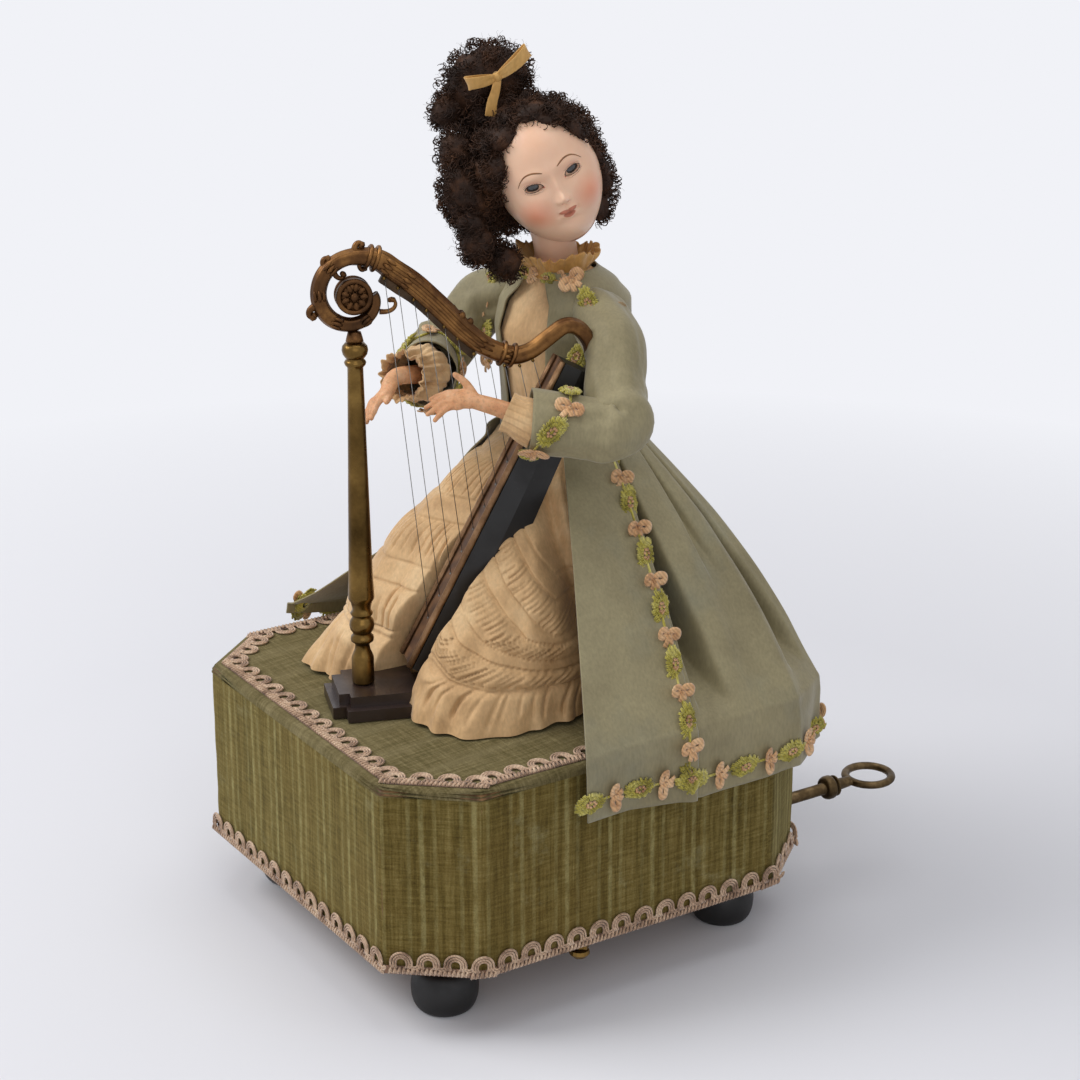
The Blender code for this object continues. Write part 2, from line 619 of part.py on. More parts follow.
def make_stop():
    """The start and stop knob under the base, on a lever whose pivot goes up through the board."""
    low = FOOT_H - GAP - 2 * MM
    arm = outline_prism([(-4 * MM, -3.5 * MM), (STOP_REACH, -3.5 * MM), (STOP_REACH, 3.5 * MM),
                         (-4 * MM, 3.5 * MM)],
                        low, low + 2 * MM)
    pin = shaft(low + MM, FLOOR_Z + 8 * MM, STOP_PIVOT_R, 14)
    lever = finish_mesh("stop_lever", arm, "brass", smooth=False)
    post = finish_mesh("stop_lever_post", pin, "brass")
    knob = finish_mesh("stop_lever_knob", turn(
        [(0, low + MM), (2 * MM, low + MM), (2.4 * MM, low - MM), (5 * MM, low - 2 * MM),
         (5.6 * MM, low - 4 * MM),
         (4 * MM, low - 6 * MM), (0, low - 6.6 * MM)], 16), "brass")
    knob.location = (STOP_REACH - 5 * MM, 0, 0)
    for extra in (post, knob):
        extra.parent = lever
        boolean(lever, extra, "UNION")
    lever.location = (STOP_X, STOP_Y, 0)
    lever.rotation_euler = (0, 0, STOP_TURN)


STOP_X = CASE_W / 2 - 20.5 * MM
STOP_Y = -42 * MM
STOP_REACH = 24 * MM
STOP_TURN = math.radians(40)
STOP_PIVOT_R = 2.5 * MM
ROD_Y = PLATE_FRONT_Y + 6 * MM


# The harp stands in its own upright plane: u runs back along it, n across it, w up from the plate
HARP_TURN = Matrix.Rotation(-HARP_YAW, 4, "Z")
NECK_PATH = ((12, 18.5), (20, 12.5), (31, 4), (44, -9), (56, -21.5), (68, -31), (82, -36.5), (92, -34.5),
             (102, -27.5), (110, -22.5), (117, -24), (122.5, -31), (124, -39))
BAND_R = 4.2 * MM
VOLUTE_TURNS = 0.75
VOLUTE_START = 10 * MM
VOLUTE_END = 20 * MM


def harp_point(u, w, n=0.0):
    return HARP_FOOT + HARP_TURN @ Vector((n, u, w))


def harp_place(made):
    made.matrix_world = Matrix.Translation(HARP_FOOT) @ HARP_TURN
    return made


def make_harp():
    make_harp_plate()
    make_column()
    make_neck()
    make_soundbox()


def make_harp_plate():
    """A low foot of two layers with notched corners."""
    half, front, back = 24 * MM, -19 * MM, 34 * MM
    notch = 7 * MM
    outline = [(-half + notch, front), (half - notch, front), (half - notch, front + notch),
               (half, front + notch),
               (half, back), (-half, back), (-half, front + notch), (-half + notch, front + notch)]
    low = TOP_Z + GAP - HARP_FOOT.z
    lower = finish_mesh("harp_plate", outline_prism(outline, low, low * 0.5), "black", smooth=False)
    upper = finish_mesh("harp_plate_step", outline_prism(
        [(x * 0.8, y * 0.8) for x, y in outline], low * 0.5 - 0.5 * MM, -GAP), "black", smooth=False)
    for part in (lower, upper):
        harp_place(part)
    boolean(lower, upper, "UNION")


def make_column():
    """The turned pillar: foot, cove, rings and ball below a shaft that tapers up to a collar and ball."""
    profile = [(0, 0), (5.8, 0), (5.8, 16), (4.2, 19), (3.8, 22), (6, 24), (6, 26.5), (4.6, 28), (6.2, 30.5),
               (6.7, 33), (6.2, 35.5), (4.8, 38), (6, 39.5), (4.8, 41.5), (5.6, 46), (7, 48.5), (4.1, 172),
               (4.1, 175), (5.6, 177), (4.2, 179), (6.2, 181), (6.8, 183.5), (6.2, 186)]
    scale = COLUMN_TOP / (188 * MM)
    turned = [(r * MM, w * MM * scale) for r, w in profile] + [(0, COLUMN_TOP)]
    harp_place(finish_mesh("harp_column", turn(turned, 14), "brass"))


def make_neck():
    """The carved neck: a volute over the column that sweeps back and down to the soundbox in one S."""
    centre = Vector((0, VOLUTE_W))
    path, radii = [], []
    steps = 15
    for i in range(steps):
        share = i / (steps - 1)
        angle = -math.tau * VOLUTE_TURNS * share
        reach = VOLUTE_START + (VOLUTE_END - VOLUTE_START) * share ** 0.65
        path.append((centre.x + reach * math.cos(angle), centre.y + reach * math.sin(angle)))
        radii.append(BAND_R * (0.7 + 0.3 * min(1.0, share * 2)))
    for i, (u, w) in enumerate(NECK_PATH):
        path.append((u * MM, VOLUTE_W + w * MM))
        radii.append(NECK_R)
    rings = []
    for i, (u, w) in enumerate(path):
        ahead = Vector(path[min(i + 1, len(path) - 1)]) - Vector(path[max(i - 1, 0)])
        across = Vector((-ahead.y, ahead.x)).normalized()
        ring = []
        for k in range(8):
            a = math.tau * (k + 0.5) / 8
            ring.append(Vector((radii[i] * 0.85 * math.sin(a), u + across.x * radii[i] * math.cos(a),
                                w + across.y * radii[i] * math.cos(a))))
        rings.append(ring)
    neck = harp_place(finish_mesh("harp_neck", skin(rings), "gilt"))
    rosette = finish_mesh("harp_rosette", turn(
        [(0, -4.5 * MM), (8.2 * MM, -4.5 * MM), (9 * MM, 0), (8.2 * MM, 4.5 * MM), (5 * MM, 5.6 * MM),
         (0, 6 * MM)], 14), "gilt")
    rosette.data.transform(Matrix.Rotation(math.pi / 2, 4, "Y"))
    rosette.data.transform(Matrix.Translation((0, 0, VOLUTE_W)))
    harp_place(rosette)
    boolean(neck, rosette, "UNION")
    web = finish_mesh("harp_neck_foot", turn(
        [(0, COLUMN_TOP + GAP), (5 * MM, COLUMN_TOP + GAP), (3.4 * MM, COLUMN_TOP + 8 * MM),
         (0, COLUMN_TOP + 8 * MM)], 12), "gilt")
    harp_place(web)
    boolean(neck, web, "UNION")
    for number, (u, w, r) in enumerate(((3, 25, 3), (-13, 20.5, 3.4), (-23, -3.5, 3.8), (13, -10, 3),
                                        (51, -8.5, 3.4), (63, -18.5, 3.6))):
        curl = finish_mesh(f"harp_curl_{number}", limb(
            [harp_point(u * MM, VOLUTE_W + w * MM, n * MM) for n in (-3, 3)], [r * MM, r * MM], 7), "gilt")
        boolean(neck, curl, "UNION")


SOUND_TOP = Vector((114 * MM, VOLUTE_W - 28 * MM))
SOUND_FOOT = Vector((24, 10)) * MM


def along_soundboard(share, lift=0.0, n=0.0):
    """A point up the soundboard, raised off its face by lift."""
    line = SOUND_TOP - SOUND_FOOT
    across = Vector((line.y, -line.x)).normalized()
    spot = SOUND_FOOT + line * share - across * lift
    return harp_point(spot.x, spot.y, n)


def make_soundbox():
    """A black box that widens to its foot, with the soundboard and two rails on its face."""
    def section(share, half, depth):
        corners = ((-half, -depth * 0.5), (-half, -1), (half, -1), (half, -depth * 0.5),
                   (half * 0.55, -depth),
                   (-half * 0.55, -depth))
        return [along_soundboard(share, lift * MM, n * MM) for n, lift in corners]

    finish_mesh("harp_soundbox", skin([section(0.0, 11, 30), section(0.5, 9.5, 26), section(0.93, 8, 21)]),
                "black", smooth=False)
    board = [[along_soundboard(share, lift * MM, n * half * MM) for n, lift in
              ((-1, -0.7), (1, -0.7), (1, 2.2), (0.74, 2.2), (0.74, 0.8), (-0.74, 0.8), (-0.74, 2.2),
               (-1, 2.2))]
             for share, half in ((0.0, 11.5), (0.93, 8.5))]
    make_strings(finish_mesh("harp_soundboard", skin(board), "gilt", smooth=False))


def make_strings(board):
    """Eleven strings run straight up from the soundboard, which carries them, to just under the neck."""
    for i in range(STRINGS):
        share = (i + 0.5) / STRINGS
        foot = along_soundboard(0.1 + 0.76 * share, 0)
        flat = HARP_TURN.inverted() @ (foot - HARP_FOOT)
        u = flat.y
        top = neck_underside(u)
        string = finish_mesh(f"string_{i + 1:02d}", limb(
            [harp_point(u, flat.z), harp_point(u, top)], [STRING_R, STRING_R], 4), "brass", smooth=False)
        boolean(board, string, "UNION")


def neck_underside(u):
    for (u0, w0), (u1, w1) in zip(NECK_PATH, NECK_PATH[1:]):
        if u0 * MM <= u <= u1 * MM:
            share = (u - u0 * MM) / ((u1 - u0) * MM)
            slope = math.hypot(u1 - u0, w1 - w0) / (u1 - u0)
            return VOLUTE_W + (w0 + (w1 - w0) * share) * MM - NECK_R * slope - GAP
    return VOLUTE_W


BODY_LEFT = Vector((math.cos(TORSO_YAW), math.sin(TORSO_YAW), 0))
BODY_FRONT = Vector((math.sin(TORSO_YAW), -math.cos(TORSO_YAW), 0))
SHOULDER_PIN_R = 2.2 * MM
SLEEVE_R = 14 * MM
HUB_R = 6.5 * MM
CLOTH = 1.2 * MM
WRIST_BAND_R = 7 * MM
TORSO_BACK = -7 * MM
TURN_ROD_LOW = 100 * MM
TORSO_RINGS = ((202, 38, 30), (228, 36, 26), (275, 24, 16), (300, 28, 19), (325, 32, 23), (340, 29, 17),
               (352, 18, 10))


def body(left, front, z):
    """A point by its distance to the lady's left and front of her middle."""
    return Vector((TORSO.x, TORSO.y, z)) + BODY_LEFT * left + BODY_FRONT * front


ELBOWS = {"left": Vector((72, 24, 296)) * MM, "right": Vector((-66, 0, 306)) * MM}
SLEEVE_ENDS = {"left": Vector((52, -14, 299)) * MM, "right": Vector((-33, -27, 307)) * MM}
WRISTS = {"left": Vector((41, -27, 306)) * MM, "right": Vector((-19, -53, 312)) * MM}
RODS = {"left": (16 * MM, 0, SHOULDER_Z - 2 * MM - GAP), "nod": (-11 * MM, 0, NECK_BASE_Z - 6 * MM - GAP),
        "right": (-38 * MM, 0, SHOULDER_Z - 2 * MM - GAP)}


def rod_y(side):
    """A rod stands over the middle of its own lever."""
    return CAM_Y0 + list(RODS).index(side) * CAM_STEP + CAM_T / 2


def set_origin(made, point):
    made.data.transform(Matrix.Translation(-Vector(point)))
    made.location = point
    return made


def make_torso():
    rings = []
    for z, half, front in TORSO_RINGS:
        ring = []
        for i in range(18):
            a = math.tau * i / 18
            depth = front * math.cos(a) if math.cos(a) > 0 else 20 * math.cos(a)
            ring.append(body(half * MM * math.sin(a), max(depth * MM, TORSO_BACK), z * MM))
        rings.append(ring)
    torso = finish_mesh("torso", skin(rings), "paper_mache")
    for side, sign in (("left", 1), ("right", -1)):
        inside = body(sign * 20 * MM, 0, SHOULDER_Z)
        outside = body(sign * (SHOULDER_HALF + 3 * MM), 0, SHOULDER_Z)
        pin = finish_mesh(f"{side}_shoulder_pin", limb([inside, outside], [SHOULDER_PIN_R] * 2, 12), "steel")
        boolean(torso, pin, "UNION")
    bore = finish_mesh("turn_rod_bore", shaft(TOP_Z, NECK_BASE_Z, ROD_R + GAP, 12), "steel")
    bore.location = (TORSO.x, TORSO.y, 0)
    boolean(torso, bore)
    seat = [body(x * MM, y * MM, 0) for x, y in ((-26, -12), (26, -12), (26, 30), (-26, 30))]
    stool = finish_mesh("stool", outline_prism([(p.x, p.y) for p in seat], TOP_Z + GAP, 202 * MM - GAP),
                        "wood",
                        smooth=False)
    boolean(stool, bore)
    turn_rod = finish_mesh("turn_rod", shaft(TURN_ROD_LOW, NECK_BASE_Z - 9.3 * MM, ROD_R, 10), "steel")
    crank = finish_mesh("turn_rod_crank", limb(
        [Vector((0, 0, TURN_ROD_LOW + 4 * MM)), Vector((14 * MM, 0, TURN_ROD_LOW + 4 * MM))], [1.6 * MM] * 2,
        8),
        "steel")
    crank.parent = turn_rod
    boolean(turn_rod, crank, "UNION")
    turn_rod.location = (TORSO.x, TORSO.y, 0)
    for side, sign in (("left", 1), ("right", -1)):
        hip = body(sign * 36 * MM, 14 * MM, 193 * MM)
        knee = body(sign * 45 * MM, 38 * MM, 200 * MM)
        ankle = body(sign * 43 * MM, 72 * MM, 153.1 * MM)
        leg = limb([hip, knee - (knee - hip) * 0.3, knee + Vector((0, 0, -8 * MM)), ankle],
                   [7 * MM, 7 * MM, 7 * MM, 5 * MM], 12)
        finish_mesh(f"{side}_leg", leg, "paper_mache")
        make_shoe(side, sign)


def make_shoe(side, sign):
    heel = body(sign * 43 * MM, 74 * MM, 0)
    rings = []
    for along, half, high in ((-8, 5, 9), (-2, 7, 10), (8, 6, 7.5), (14, 6.5, 5.8), (30, 7, 5.4),
                              (42, 3, 3.2)):
        centre = heel + BODY_FRONT * along * MM
        ring = []
        for i in range(10):
            a = math.tau * i / 10
            lift = max(0.0, high / 2 + high / 2 * math.sin(a))
            ring.append(centre + BODY_LEFT * half * MM * math.cos(a)
                        + Vector((0, 0, TOP_Z + GAP + lift * MM)))
        rings.append(ring)
    finish_mesh(f"{side}_shoe", skin(rings), "shoe")


def make_arm(side, sign):
    """A wooden arm that turns on its shoulder pin, with a tail over its rod, and its hand."""
    pivot = body(sign * SHOULDER_HALF, 0, SHOULDER_Z)
    root = body(sign * (SHOULDER_HALF - 2 * MM), 0, SHOULDER_Z)
    elbow, wrist, end = ELBOWS[side], WRISTS[side], SLEEVE_ENDS[side]
    start = root + (elbow - root).normalized() * 4 * MM
    arm = finish_mesh(f"{side}_arm", limb([start, elbow, end], [3.6 * MM, 4.2 * MM, 3.6 * MM], 8), "wood")
    hub_in = body(sign * (SHOULDER_HALF - 8 * MM), 0, SHOULDER_Z)
    hub_out = body(sign * (SHOULDER_HALF + 1 * MM), 0, SHOULDER_Z)
    hub = finish_mesh(f"{side}_hub", limb([hub_in, hub_out], [HUB_R] * 2, 16), "wood")
    rod = RODS[side]
    tail_end = Vector((rod[0], rod_y(side), SHOULDER_Z))
    reach = (tail_end - hub_in).normalized() * 1.3 * MM
    tail = finish_mesh(f"{side}_tail", limb([hub_in + sign * BODY_LEFT * 2.5 * MM, tail_end + reach],
                                            [2 * MM] * 2, 8), "wood")
    pin_hole = finish_mesh(f"{side}_pin_hole", limb(
        [body(sign * (SHOULDER_HALF - 20 * MM), 0, SHOULDER_Z),
         body(sign * (SHOULDER_HALF + 20 * MM), 0, SHOULDER_Z)],
        [SHOULDER_PIN_R + RUN_GAP] * 2, 12), "wood")
    boolean(arm, hub, "UNION")
    boolean(arm, tail, "UNION")
    boolean(arm, pin_hole)
    for part in (arm, hub, tail, pin_hole):
        set_origin(part, pivot)
    make_hand(side, end, wrist, pivot)
    make_sleeve(side, sign, pivot, elbow, end, wrist)


HANDS = {
    "left": {"palm": (32, -41, 312),
             "fingers": (((24, -47, 313), (18.5, -54, 309.5)), ((25, -49, 311), (20, -58, 306)),
                                                 ((27, -50, 309), (23.5, -59, 303.5)),
                         ((29, -50, 307), (27.5, -57, 301))),
             "thumb": ((30, -39, 319), (26, -44, 323))},
    "right": {"palm": (-13, -62, 307),
              "fingers": (((-9, -69, 304), (-7, -75, 296)), ((-12, -70, 303), (-9.5, -76.5, 293.5)),
                                                   ((-15, -70, 302), (-13, -76, 293)),
                          ((-17, -68, 301), (-16, -73, 294))),
              "thumb": ((-8, -62, 307), (-5, -67, 304))},
}


def make_hand(side, end, wrist, pivot):
    """A composition hand on its forearm: a flat palm with four fingers and a thumb joined to it."""
    shape = HANDS[side]
    palm = Vector(shape["palm"]) * MM
    knuckles = sum((Vector(bones[0]) * MM for bones in shape["fingers"]), Vector()) / len(shape["fingers"])
    start = end + (wrist - end).normalized() * (1.7 * MM)
    path = [start, wrist, palm, knuckles]
    hand = finish_mesh(f"{side}_hand", limb(path, [5.4 * MM, 4 * MM, 4.6 * MM, 3.4 * MM], 10), "hand_paint")
    parts = [hand]
    for number, (near, far) in enumerate(shape["fingers"] + (shape["thumb"],)):
        near, far = Vector(near) * MM, Vector(far) * MM
        root = palm.lerp(near, 0.4)
        tip = far + (far - near).normalized() * 1.2 * MM
        finger = limb([root, near, far, tip], [2 * MM, 1.8 * MM, 1.4 * MM, 0.7 * MM], 6)
        parts.append(finish_mesh(f"{side}_finger_{number}", finger, "hand_paint"))
        boolean(hand, parts[-1], "UNION")
    for part in parts:
        set_origin(part, pivot)


def tube_cloth(path, radii, thickness, sides, wave=0.0, waves=0, squash=1.0):
    """A hollow tube of cloth; a wave gives it pleats that grow toward its far end."""
    outer, inner = [], []
    last = len(path) - 1
    for i, point in enumerate(path):
        axis = Vector(path[min(i + 1, last)]) - Vector(path[max(i - 1, 0)])
        for rings, radius in ((outer, radii[i]), (inner, radii[i] - thickness)):
            ring = ring_about(point, axis, radius, sides, squash)
            for k, spot in enumerate(ring):
                swell = 1 + wave * i / last * math.cos(waves * math.tau * k / sides)
                ring[k] = Vector(point) + (spot - Vector(point)) * swell
            rings.append(ring)
    loop = outer + inner[::-1]
    bm = bmesh.new()
    made = [[bm.verts.new(p) for p in ring] for ring in loop]
    for a, b in zip(made, made[1:] + made[:1]):
        for k in range(sides):
            bm.faces.new((a[k], a[(k + 1) % sides], b[(k + 1) % sides], b[k]))
    return bm


def make_sleeve(side, sign, pivot, elbow, end, wrist):
    top = pivot + BODY_LEFT * sign * 2.5 * MM + (elbow - pivot) * 0.1
    bend = elbow + (elbow - (top + end) / 2).normalized() * 2 * MM
    upper = top + (bend - top) * 0.55
    lower = bend + (end - bend) * 0.5
    away = (wrist - end).normalized()
    path = [top, upper, bend - (bend - top) * 0.12, bend + (end - bend) * 0.2, lower, end - away * MM,
            end + away * MM]
    shares = (0.82, 0.74, 0.9, 1.0, 0.97, 0.9) if side == "left" else (0.9, 0.86, 0.95, 1.0, 0.97, 0.9)
    radii = [SLEEVE_R * share for share in shares] + [WRIST_BAND_R]
    set_origin(finish_mesh(f"{side}_sleeve", tube_cloth(path, radii, CLOTH, 12), "coat_silk"), pivot)
    start = end + away * 1.8 * MM
    cuff = [start, start + away * 2 * MM, start + away * 7 * MM, start + away * 12 * MM]
    set_origin(finish_mesh(f"{side}_cuff",
                           tube_cloth(cuff, [WRIST_BAND_R, 9 * MM, 10.4 * MM, 12.5 * MM], CLOTH, 18,
                                                      0.07, 6), "silk"), pivot)


HEAD_TURN = (Matrix.Rotation(HEAD_YAW, 4, "Z") @ Matrix.Rotation(HEAD_ROLL, 4, "Y")
             @ Matrix.Rotation(HEAD_PITCH, 4, "X"))


def bump(direction, towards, width):
    """A soft rise around one direction from the head's middle."""
    return math.exp(-((direction - Vector(towards).normalized()).length / width) ** 2)


def head_radius(d):
    """The head's reach in a direction, with its face toward local -Y."""
    egg = 1 / math.sqrt((d.x / (HEAD_W / 2)) ** 2 + (d.y / (HEAD_D / 2)) ** 2 + (d.z / (HEAD_H / 2)) ** 2)
    jaw = -5 * MM * max(0.0, -d.z - 0.25) * abs(d.x) * 2
    nose = 5.5 * MM * bump(d, (0, -1, -0.14), 0.16)
    chin = 2.5 * MM * bump(d, (0, -0.75, -0.85), 0.25)
    brow = 1.2 * MM * bump(d, (0, -1, 0.35), 0.4)
    lips = 1.6 * MM * bump(d, (0, -1, -0.48), 0.14)
    cheeks = 1.6 * MM * (bump(d, (0.6, -0.9, -0.3), 0.35) + bump(d, (-0.6, -0.9, -0.3), 0.35))
    eyes = -1.8 * MM * (bump(d, (0.38, -1, 0.08), 0.17) + bump(d, (-0.38, -1, 0.08), 0.17))
    return egg + jaw + nose + chin + brow + lips + cheeks + eyes


def face_direction(polar_angle, around):
    """A direction at an angle from the face's axis; around runs from her left up over the crown."""
    return Vector((math.sin(polar_angle) * math.cos(around), -math.cos(polar_angle),
                   math.sin(polar_angle) * math.sin(around)))


def head_spot(direction, reach):
    return HEAD + HEAD_TURN @ (direction * reach)


NECK_AXIS = Vector((TORSO.x, TORSO.y, 0))


HEAD_ROWS = 13
HEAD_SIDES = 20


def neck_limb(clearance):
    low = Vector((TORSO.x, TORSO.y, NECK_BASE_Z + 1.5 * MM))
    high = HEAD + Vector((-2 * MM, 3 * MM, -16 * MM))
    path = [low, low + Vector((0, 0, 0.5 * MM)), low + Vector((0, 0, 5 * MM)), high]
    return limb(path, [r * MM + clearance for r in (13.5, 13.5, 12, 13)], 18)


def make_head():
    head = finish_mesh("head", head_shell(0, HEAD_ROWS, HEAD_SIDES), "bisque")
    neck = finish_mesh("neck", neck_limb(0), "bisque")
    boolean(head, neck, "UNION")
    for part in (head, neck):
        set_origin(part, NECK_AXIS + Vector((0, 0, NECK_BASE_Z)))
    make_wig()
    make_bow()
    rocker = finish_mesh("neck_rocker", limb([body(-7 * MM, 0, NECK_BASE_Z - 5 * MM),
                                              body(7 * MM, 0, NECK_BASE_Z - 5 * MM)], [4 * MM] * 2, 14),
                         "wood")
    post = finish_mesh("neck_rocker_post", shaft(NECK_BASE_Z - 5 * MM, NECK_BASE_Z + MM, 5 * MM, 14), "wood")
    post.data.transform(Matrix.Translation(NECK_AXIS))
    nod = RODS["nod"]
    tail = finish_mesh("neck_rocker_tail", limb(
        [body(0, 0, NECK_BASE_Z - 4 * MM), Vector((nod[0], rod_y("nod") + 1.5 * MM, NECK_BASE_Z - 4 * MM))],
        [2 * MM] * 2, 8), "wood")
    for part in (post, tail):
        boolean(rocker, part, "UNION")
    for part in (rocker, post, tail):
        set_origin(part, NECK_AXIS + Vector((0, 0, NECK_BASE_Z - 5 * MM)))
    collar_low = Vector((TORSO.x, TORSO.y, NECK_BASE_Z))
    finish_mesh("collar_ruffle", tube_cloth([collar_low, collar_low + Vector((0, 0, 4 * MM)),
                                             collar_low + Vector((0, 0, 8 * MM))],
                                            [20 * MM, 22 * MM, 27 * MM], 2 * MM, 28, 0.06, 7), "silk")


# Masses of hair: the middle of each in the head's own axes, and its three half sizes
WIG_MASSES = (((-7, 19, 5), (44, 34, 37)), ((-5.6, 31, 50), (29, 22, 25)), ((-30, 28, 47), (13, 11, 12)),
              ((-42, 0, 8), (17, 15, 24)), ((-49, -12, -12), (14, 12, 14)), ((21, 3, -8), (14, 16, 27)),
              ((15, -3, -25), (10, 10, 14)), ((-18, 21, -11), (28, 20, 17)))
WIG_CLEAR = 0.5 * MM


def hair_mass(name, middle, halves):
    """One rounded mass of hair."""
    rings = []
    for i in range(1, 6):
        a = math.pi * i / 6
        ring = []
        for k in range(10):
            b = math.tau * (k + 0.5 * (i % 2)) / 10
            unit = Vector((math.sin(a) * math.cos(b), math.sin(a) * math.sin(b), math.cos(a)))
            spot = Vector(middle) + Vector([u * h for u, h in zip(unit, halves)])
            ring.append(HEAD + HEAD_TURN @ (spot * MM))
        rings.append(ring)
    return finish_mesh(name, skin(rings), "hair")


def head_shell(clearance, rows, sides):
    """The head's own form, grown by a clearance."""
    rings = []
    for i in range(1, rows):
        polar_angle = math.pi * (i / rows) ** 1.25
        ring = []
        for k in range(sides):
            d = face_direction(polar_angle, math.tau * k / sides)
            ring.append(head_spot(d, head_radius(d) + clearance))
        rings.append(ring)
    return skin(rings)


def make_wig():
    """Masses of curled hair joined into one wig and hollowed to sit on the head."""
    wig = hair_mass("wig", *WIG_MASSES[0])
    parts = [wig]
    for number, mass in enumerate(WIG_MASSES[1:]):
        parts.append(hair_mass(f"hair_mass_{number}", *mass))
        boolean(wig, parts[-1], "UNION")
    parts.append(finish_mesh("wig_hollow", head_shell(WIG_CLEAR, HEAD_ROWS, HEAD_SIDES), "hair"))
    parts.append(finish_mesh("wig_neck_hollow", neck_limb(WIG_CLEAR * 2), "hair"))
    for hollow in parts[-2:]:
        boolean(wig, hollow)
    for part in parts:
        set_origin(part, NECK_AXIS + Vector((0, 0, NECK_BASE_Z)))


BOW_AT = (0.4, 8.8, 57)


def make_bow():
    """A ribbon bow in front of the bun."""
    middle = Vector(BOW_AT) * MM
    local = {"knot": [(-2, 0, 0), (2, 0, 0)],
             "left_loop": [(0.8, 0, 1.6), (7, 0, 5), (14, 0, 5), (17.5, 0, 1), (13, 0, -2.5), (6, 0, -2.4),
                           (0.8, 0, -1.5)],
             "right_loop": [(-0.8, 0, 1.6), (-7, 0, 5), (-14, 0, 5), (-17.5, 0, 1), (-13, 0, -2.5),
                            (-6, 0, -2.4), (-0.8, 0, -1.5)],
             "tail": [(0, -1.5, -1), (-5, -3.6, -8), (-11, -4.4, -14)]}
    widths = {"knot": 3, "left_loop": 1.1, "right_loop": 1.1, "tail": 1.1}
    made = {}
    for name, path in local.items():
        spots = [HEAD + HEAD_TURN @ (middle + Vector(p) * MM) for p in path]
        made[name] = finish_mesh("hair_bow" if name == "knot" else f"hair_bow_{name}",
                                 limb(spots, [widths[name] * MM] * len(spots), 6), "ribbon")
        if name != "knot":
            boolean(made["knot"], made[name], "UNION")
    for part in made.values():
        set_origin(part, NECK_AXIS + Vector((0, 0, NECK_BASE_Z)))


SKIRT_SHAPE = ((270, 20, 34, 43), (250, 36, 40, 43), (228, 62, 50, 42), (205, 80, 58, 42), (180, 96, 65, 42),
               (163, 107, 71, 42), (147, 116, 76, 42))
VALLEY = ((54, 0.0), (42, 0.0), (30, 0.16), (22, 0.32), (12, 0.33), (4, 0.33), (-2, 0.33))


def skirt_point(row, around, thickness):
    z, front, side, back = SKIRT_SHAPE[row]
    valley_at, depth = VALLEY[row]
    c, s = math.cos(around), math.sin(around)
    reach = 1 / math.sqrt((c / (front if c > 0 else back)) ** 2 + (s / side) ** 2)
    if c > 0:
        knees = 1 + 0.10 * (z < 235) * math.sin(2 * abs(around if around < math.pi
                                                        else around - math.tau)) ** 2
        reach *= knees
    gap = (math.degrees(around) - valley_at + 180) % 360 - 180
    reach *= 1 - depth * math.exp(-(gap / 22) ** 4)
    share = row / (len(SKIRT_SHAPE) - 1)
    reach += 1.3 * share * math.sin(14 * around) * (c > 0)
    return body((reach - thickness) * s * MM, (reach - thickness) * c * MM, z * MM)


def make_skirt():
    """The silk skirt over two knees, drawn in between them where the harp stands."""
    sides = 38
    rings = []
    rows = range(len(SKIRT_SHAPE))
    for row in rows:
        rings.append([skirt_point(row, math.tau * k / sides, 0) for k in range(sides)])
    for row in reversed(rows):
        rings.append([skirt_point(row, math.tau * k / sides, 1.5) for k in range(sides)])
    bm = bmesh.new()
    made = [[bm.verts.new(p) for p in ring] for ring in rings]
    for a, b in zip(made, made[1:] + made[:1]):
        for k in range(sides):
            bm.faces.new((a[k], a[(k + 1) % sides], b[(k + 1) % sides], b[k]))
    finish_mesh("skirt", bm, "silk")


COAT_HEM = ((1.039, -0.234, -28), (1.031, -0.060, -28), (1.031, 0.121, -31), (1.031, 0.301, -34),
            (1.031, 0.542, -33), (1.027, 0.783, -32), (0.872, 1.002, -30), (0.607, 1.047, -28),
            (0.311, 1.062, -28), (0.000, 1.062, -28), (-0.327, 1.062, -27), (-0.654, 1.040, -26),
            (-0.903, 0.964, -24), (-1.027, 0.753, -21), (-1.035, 0.452, -17), (-1.035, 0.151, -11),
            (-1.035, -0.166, -5), (-1.027, -0.482, 3))
COAT_FALL = ((0, 270), (0.16, 252), (0.36, 228), (0.56, 202), (0.76, 176), (0.9, 158), (0.985, 146.5),
             (1.0, 138), (1.0, None))
WAIST_SIDE = 36.2 * MM
WAIST_BACK = 44.2 * MM
COAT_FOLDS = 11
COAT_FOLD_DEPTH = 4.5


def coat_spot(column, columns, row, inward):
    share = column / (columns - 1)
    place = share * (len(COAT_HEM) - 1)
    index = min(int(place), len(COAT_HEM) - 2)
    part = place - index
    wide, deep, low = Vector(COAT_HEM[index]).lerp(Vector(COAT_HEM[index + 1]), part)
    hem = Vector((wide * CASE_W / 2, deep * CASE_D / 2, TOP_Z + low * MM)) / MM
    around = math.radians(52 + (308 - 52) * share)
    waist = body(WAIST_SIDE * math.sin(around), WAIST_SIDE * math.cos(around) if math.cos(around) > 0
                 else WAIST_BACK * math.cos(around), 0) / MM
    fraction, z = COAT_FALL[row]
    drop = hem.z if z is None else max(z, hem.z + 6)
    spot = Vector((waist.x, waist.y)).lerp(Vector((hem.x, hem.y)), fraction)
    out = Vector((hem.x - waist.x, hem.y - waist.y)).normalized()
    panel = min(1.0, max(0.0, (share - 0.17) / 0.05)) * min(1.0, max(0.0, (1 - share) / 0.06))
    fold = COAT_FOLD_DEPTH * fraction * panel * (1 - math.cos(math.tau * COAT_FOLDS * share)) / 2
    spot += out * (fold - inward)
    return Vector((spot.x, spot.y, drop)) * MM


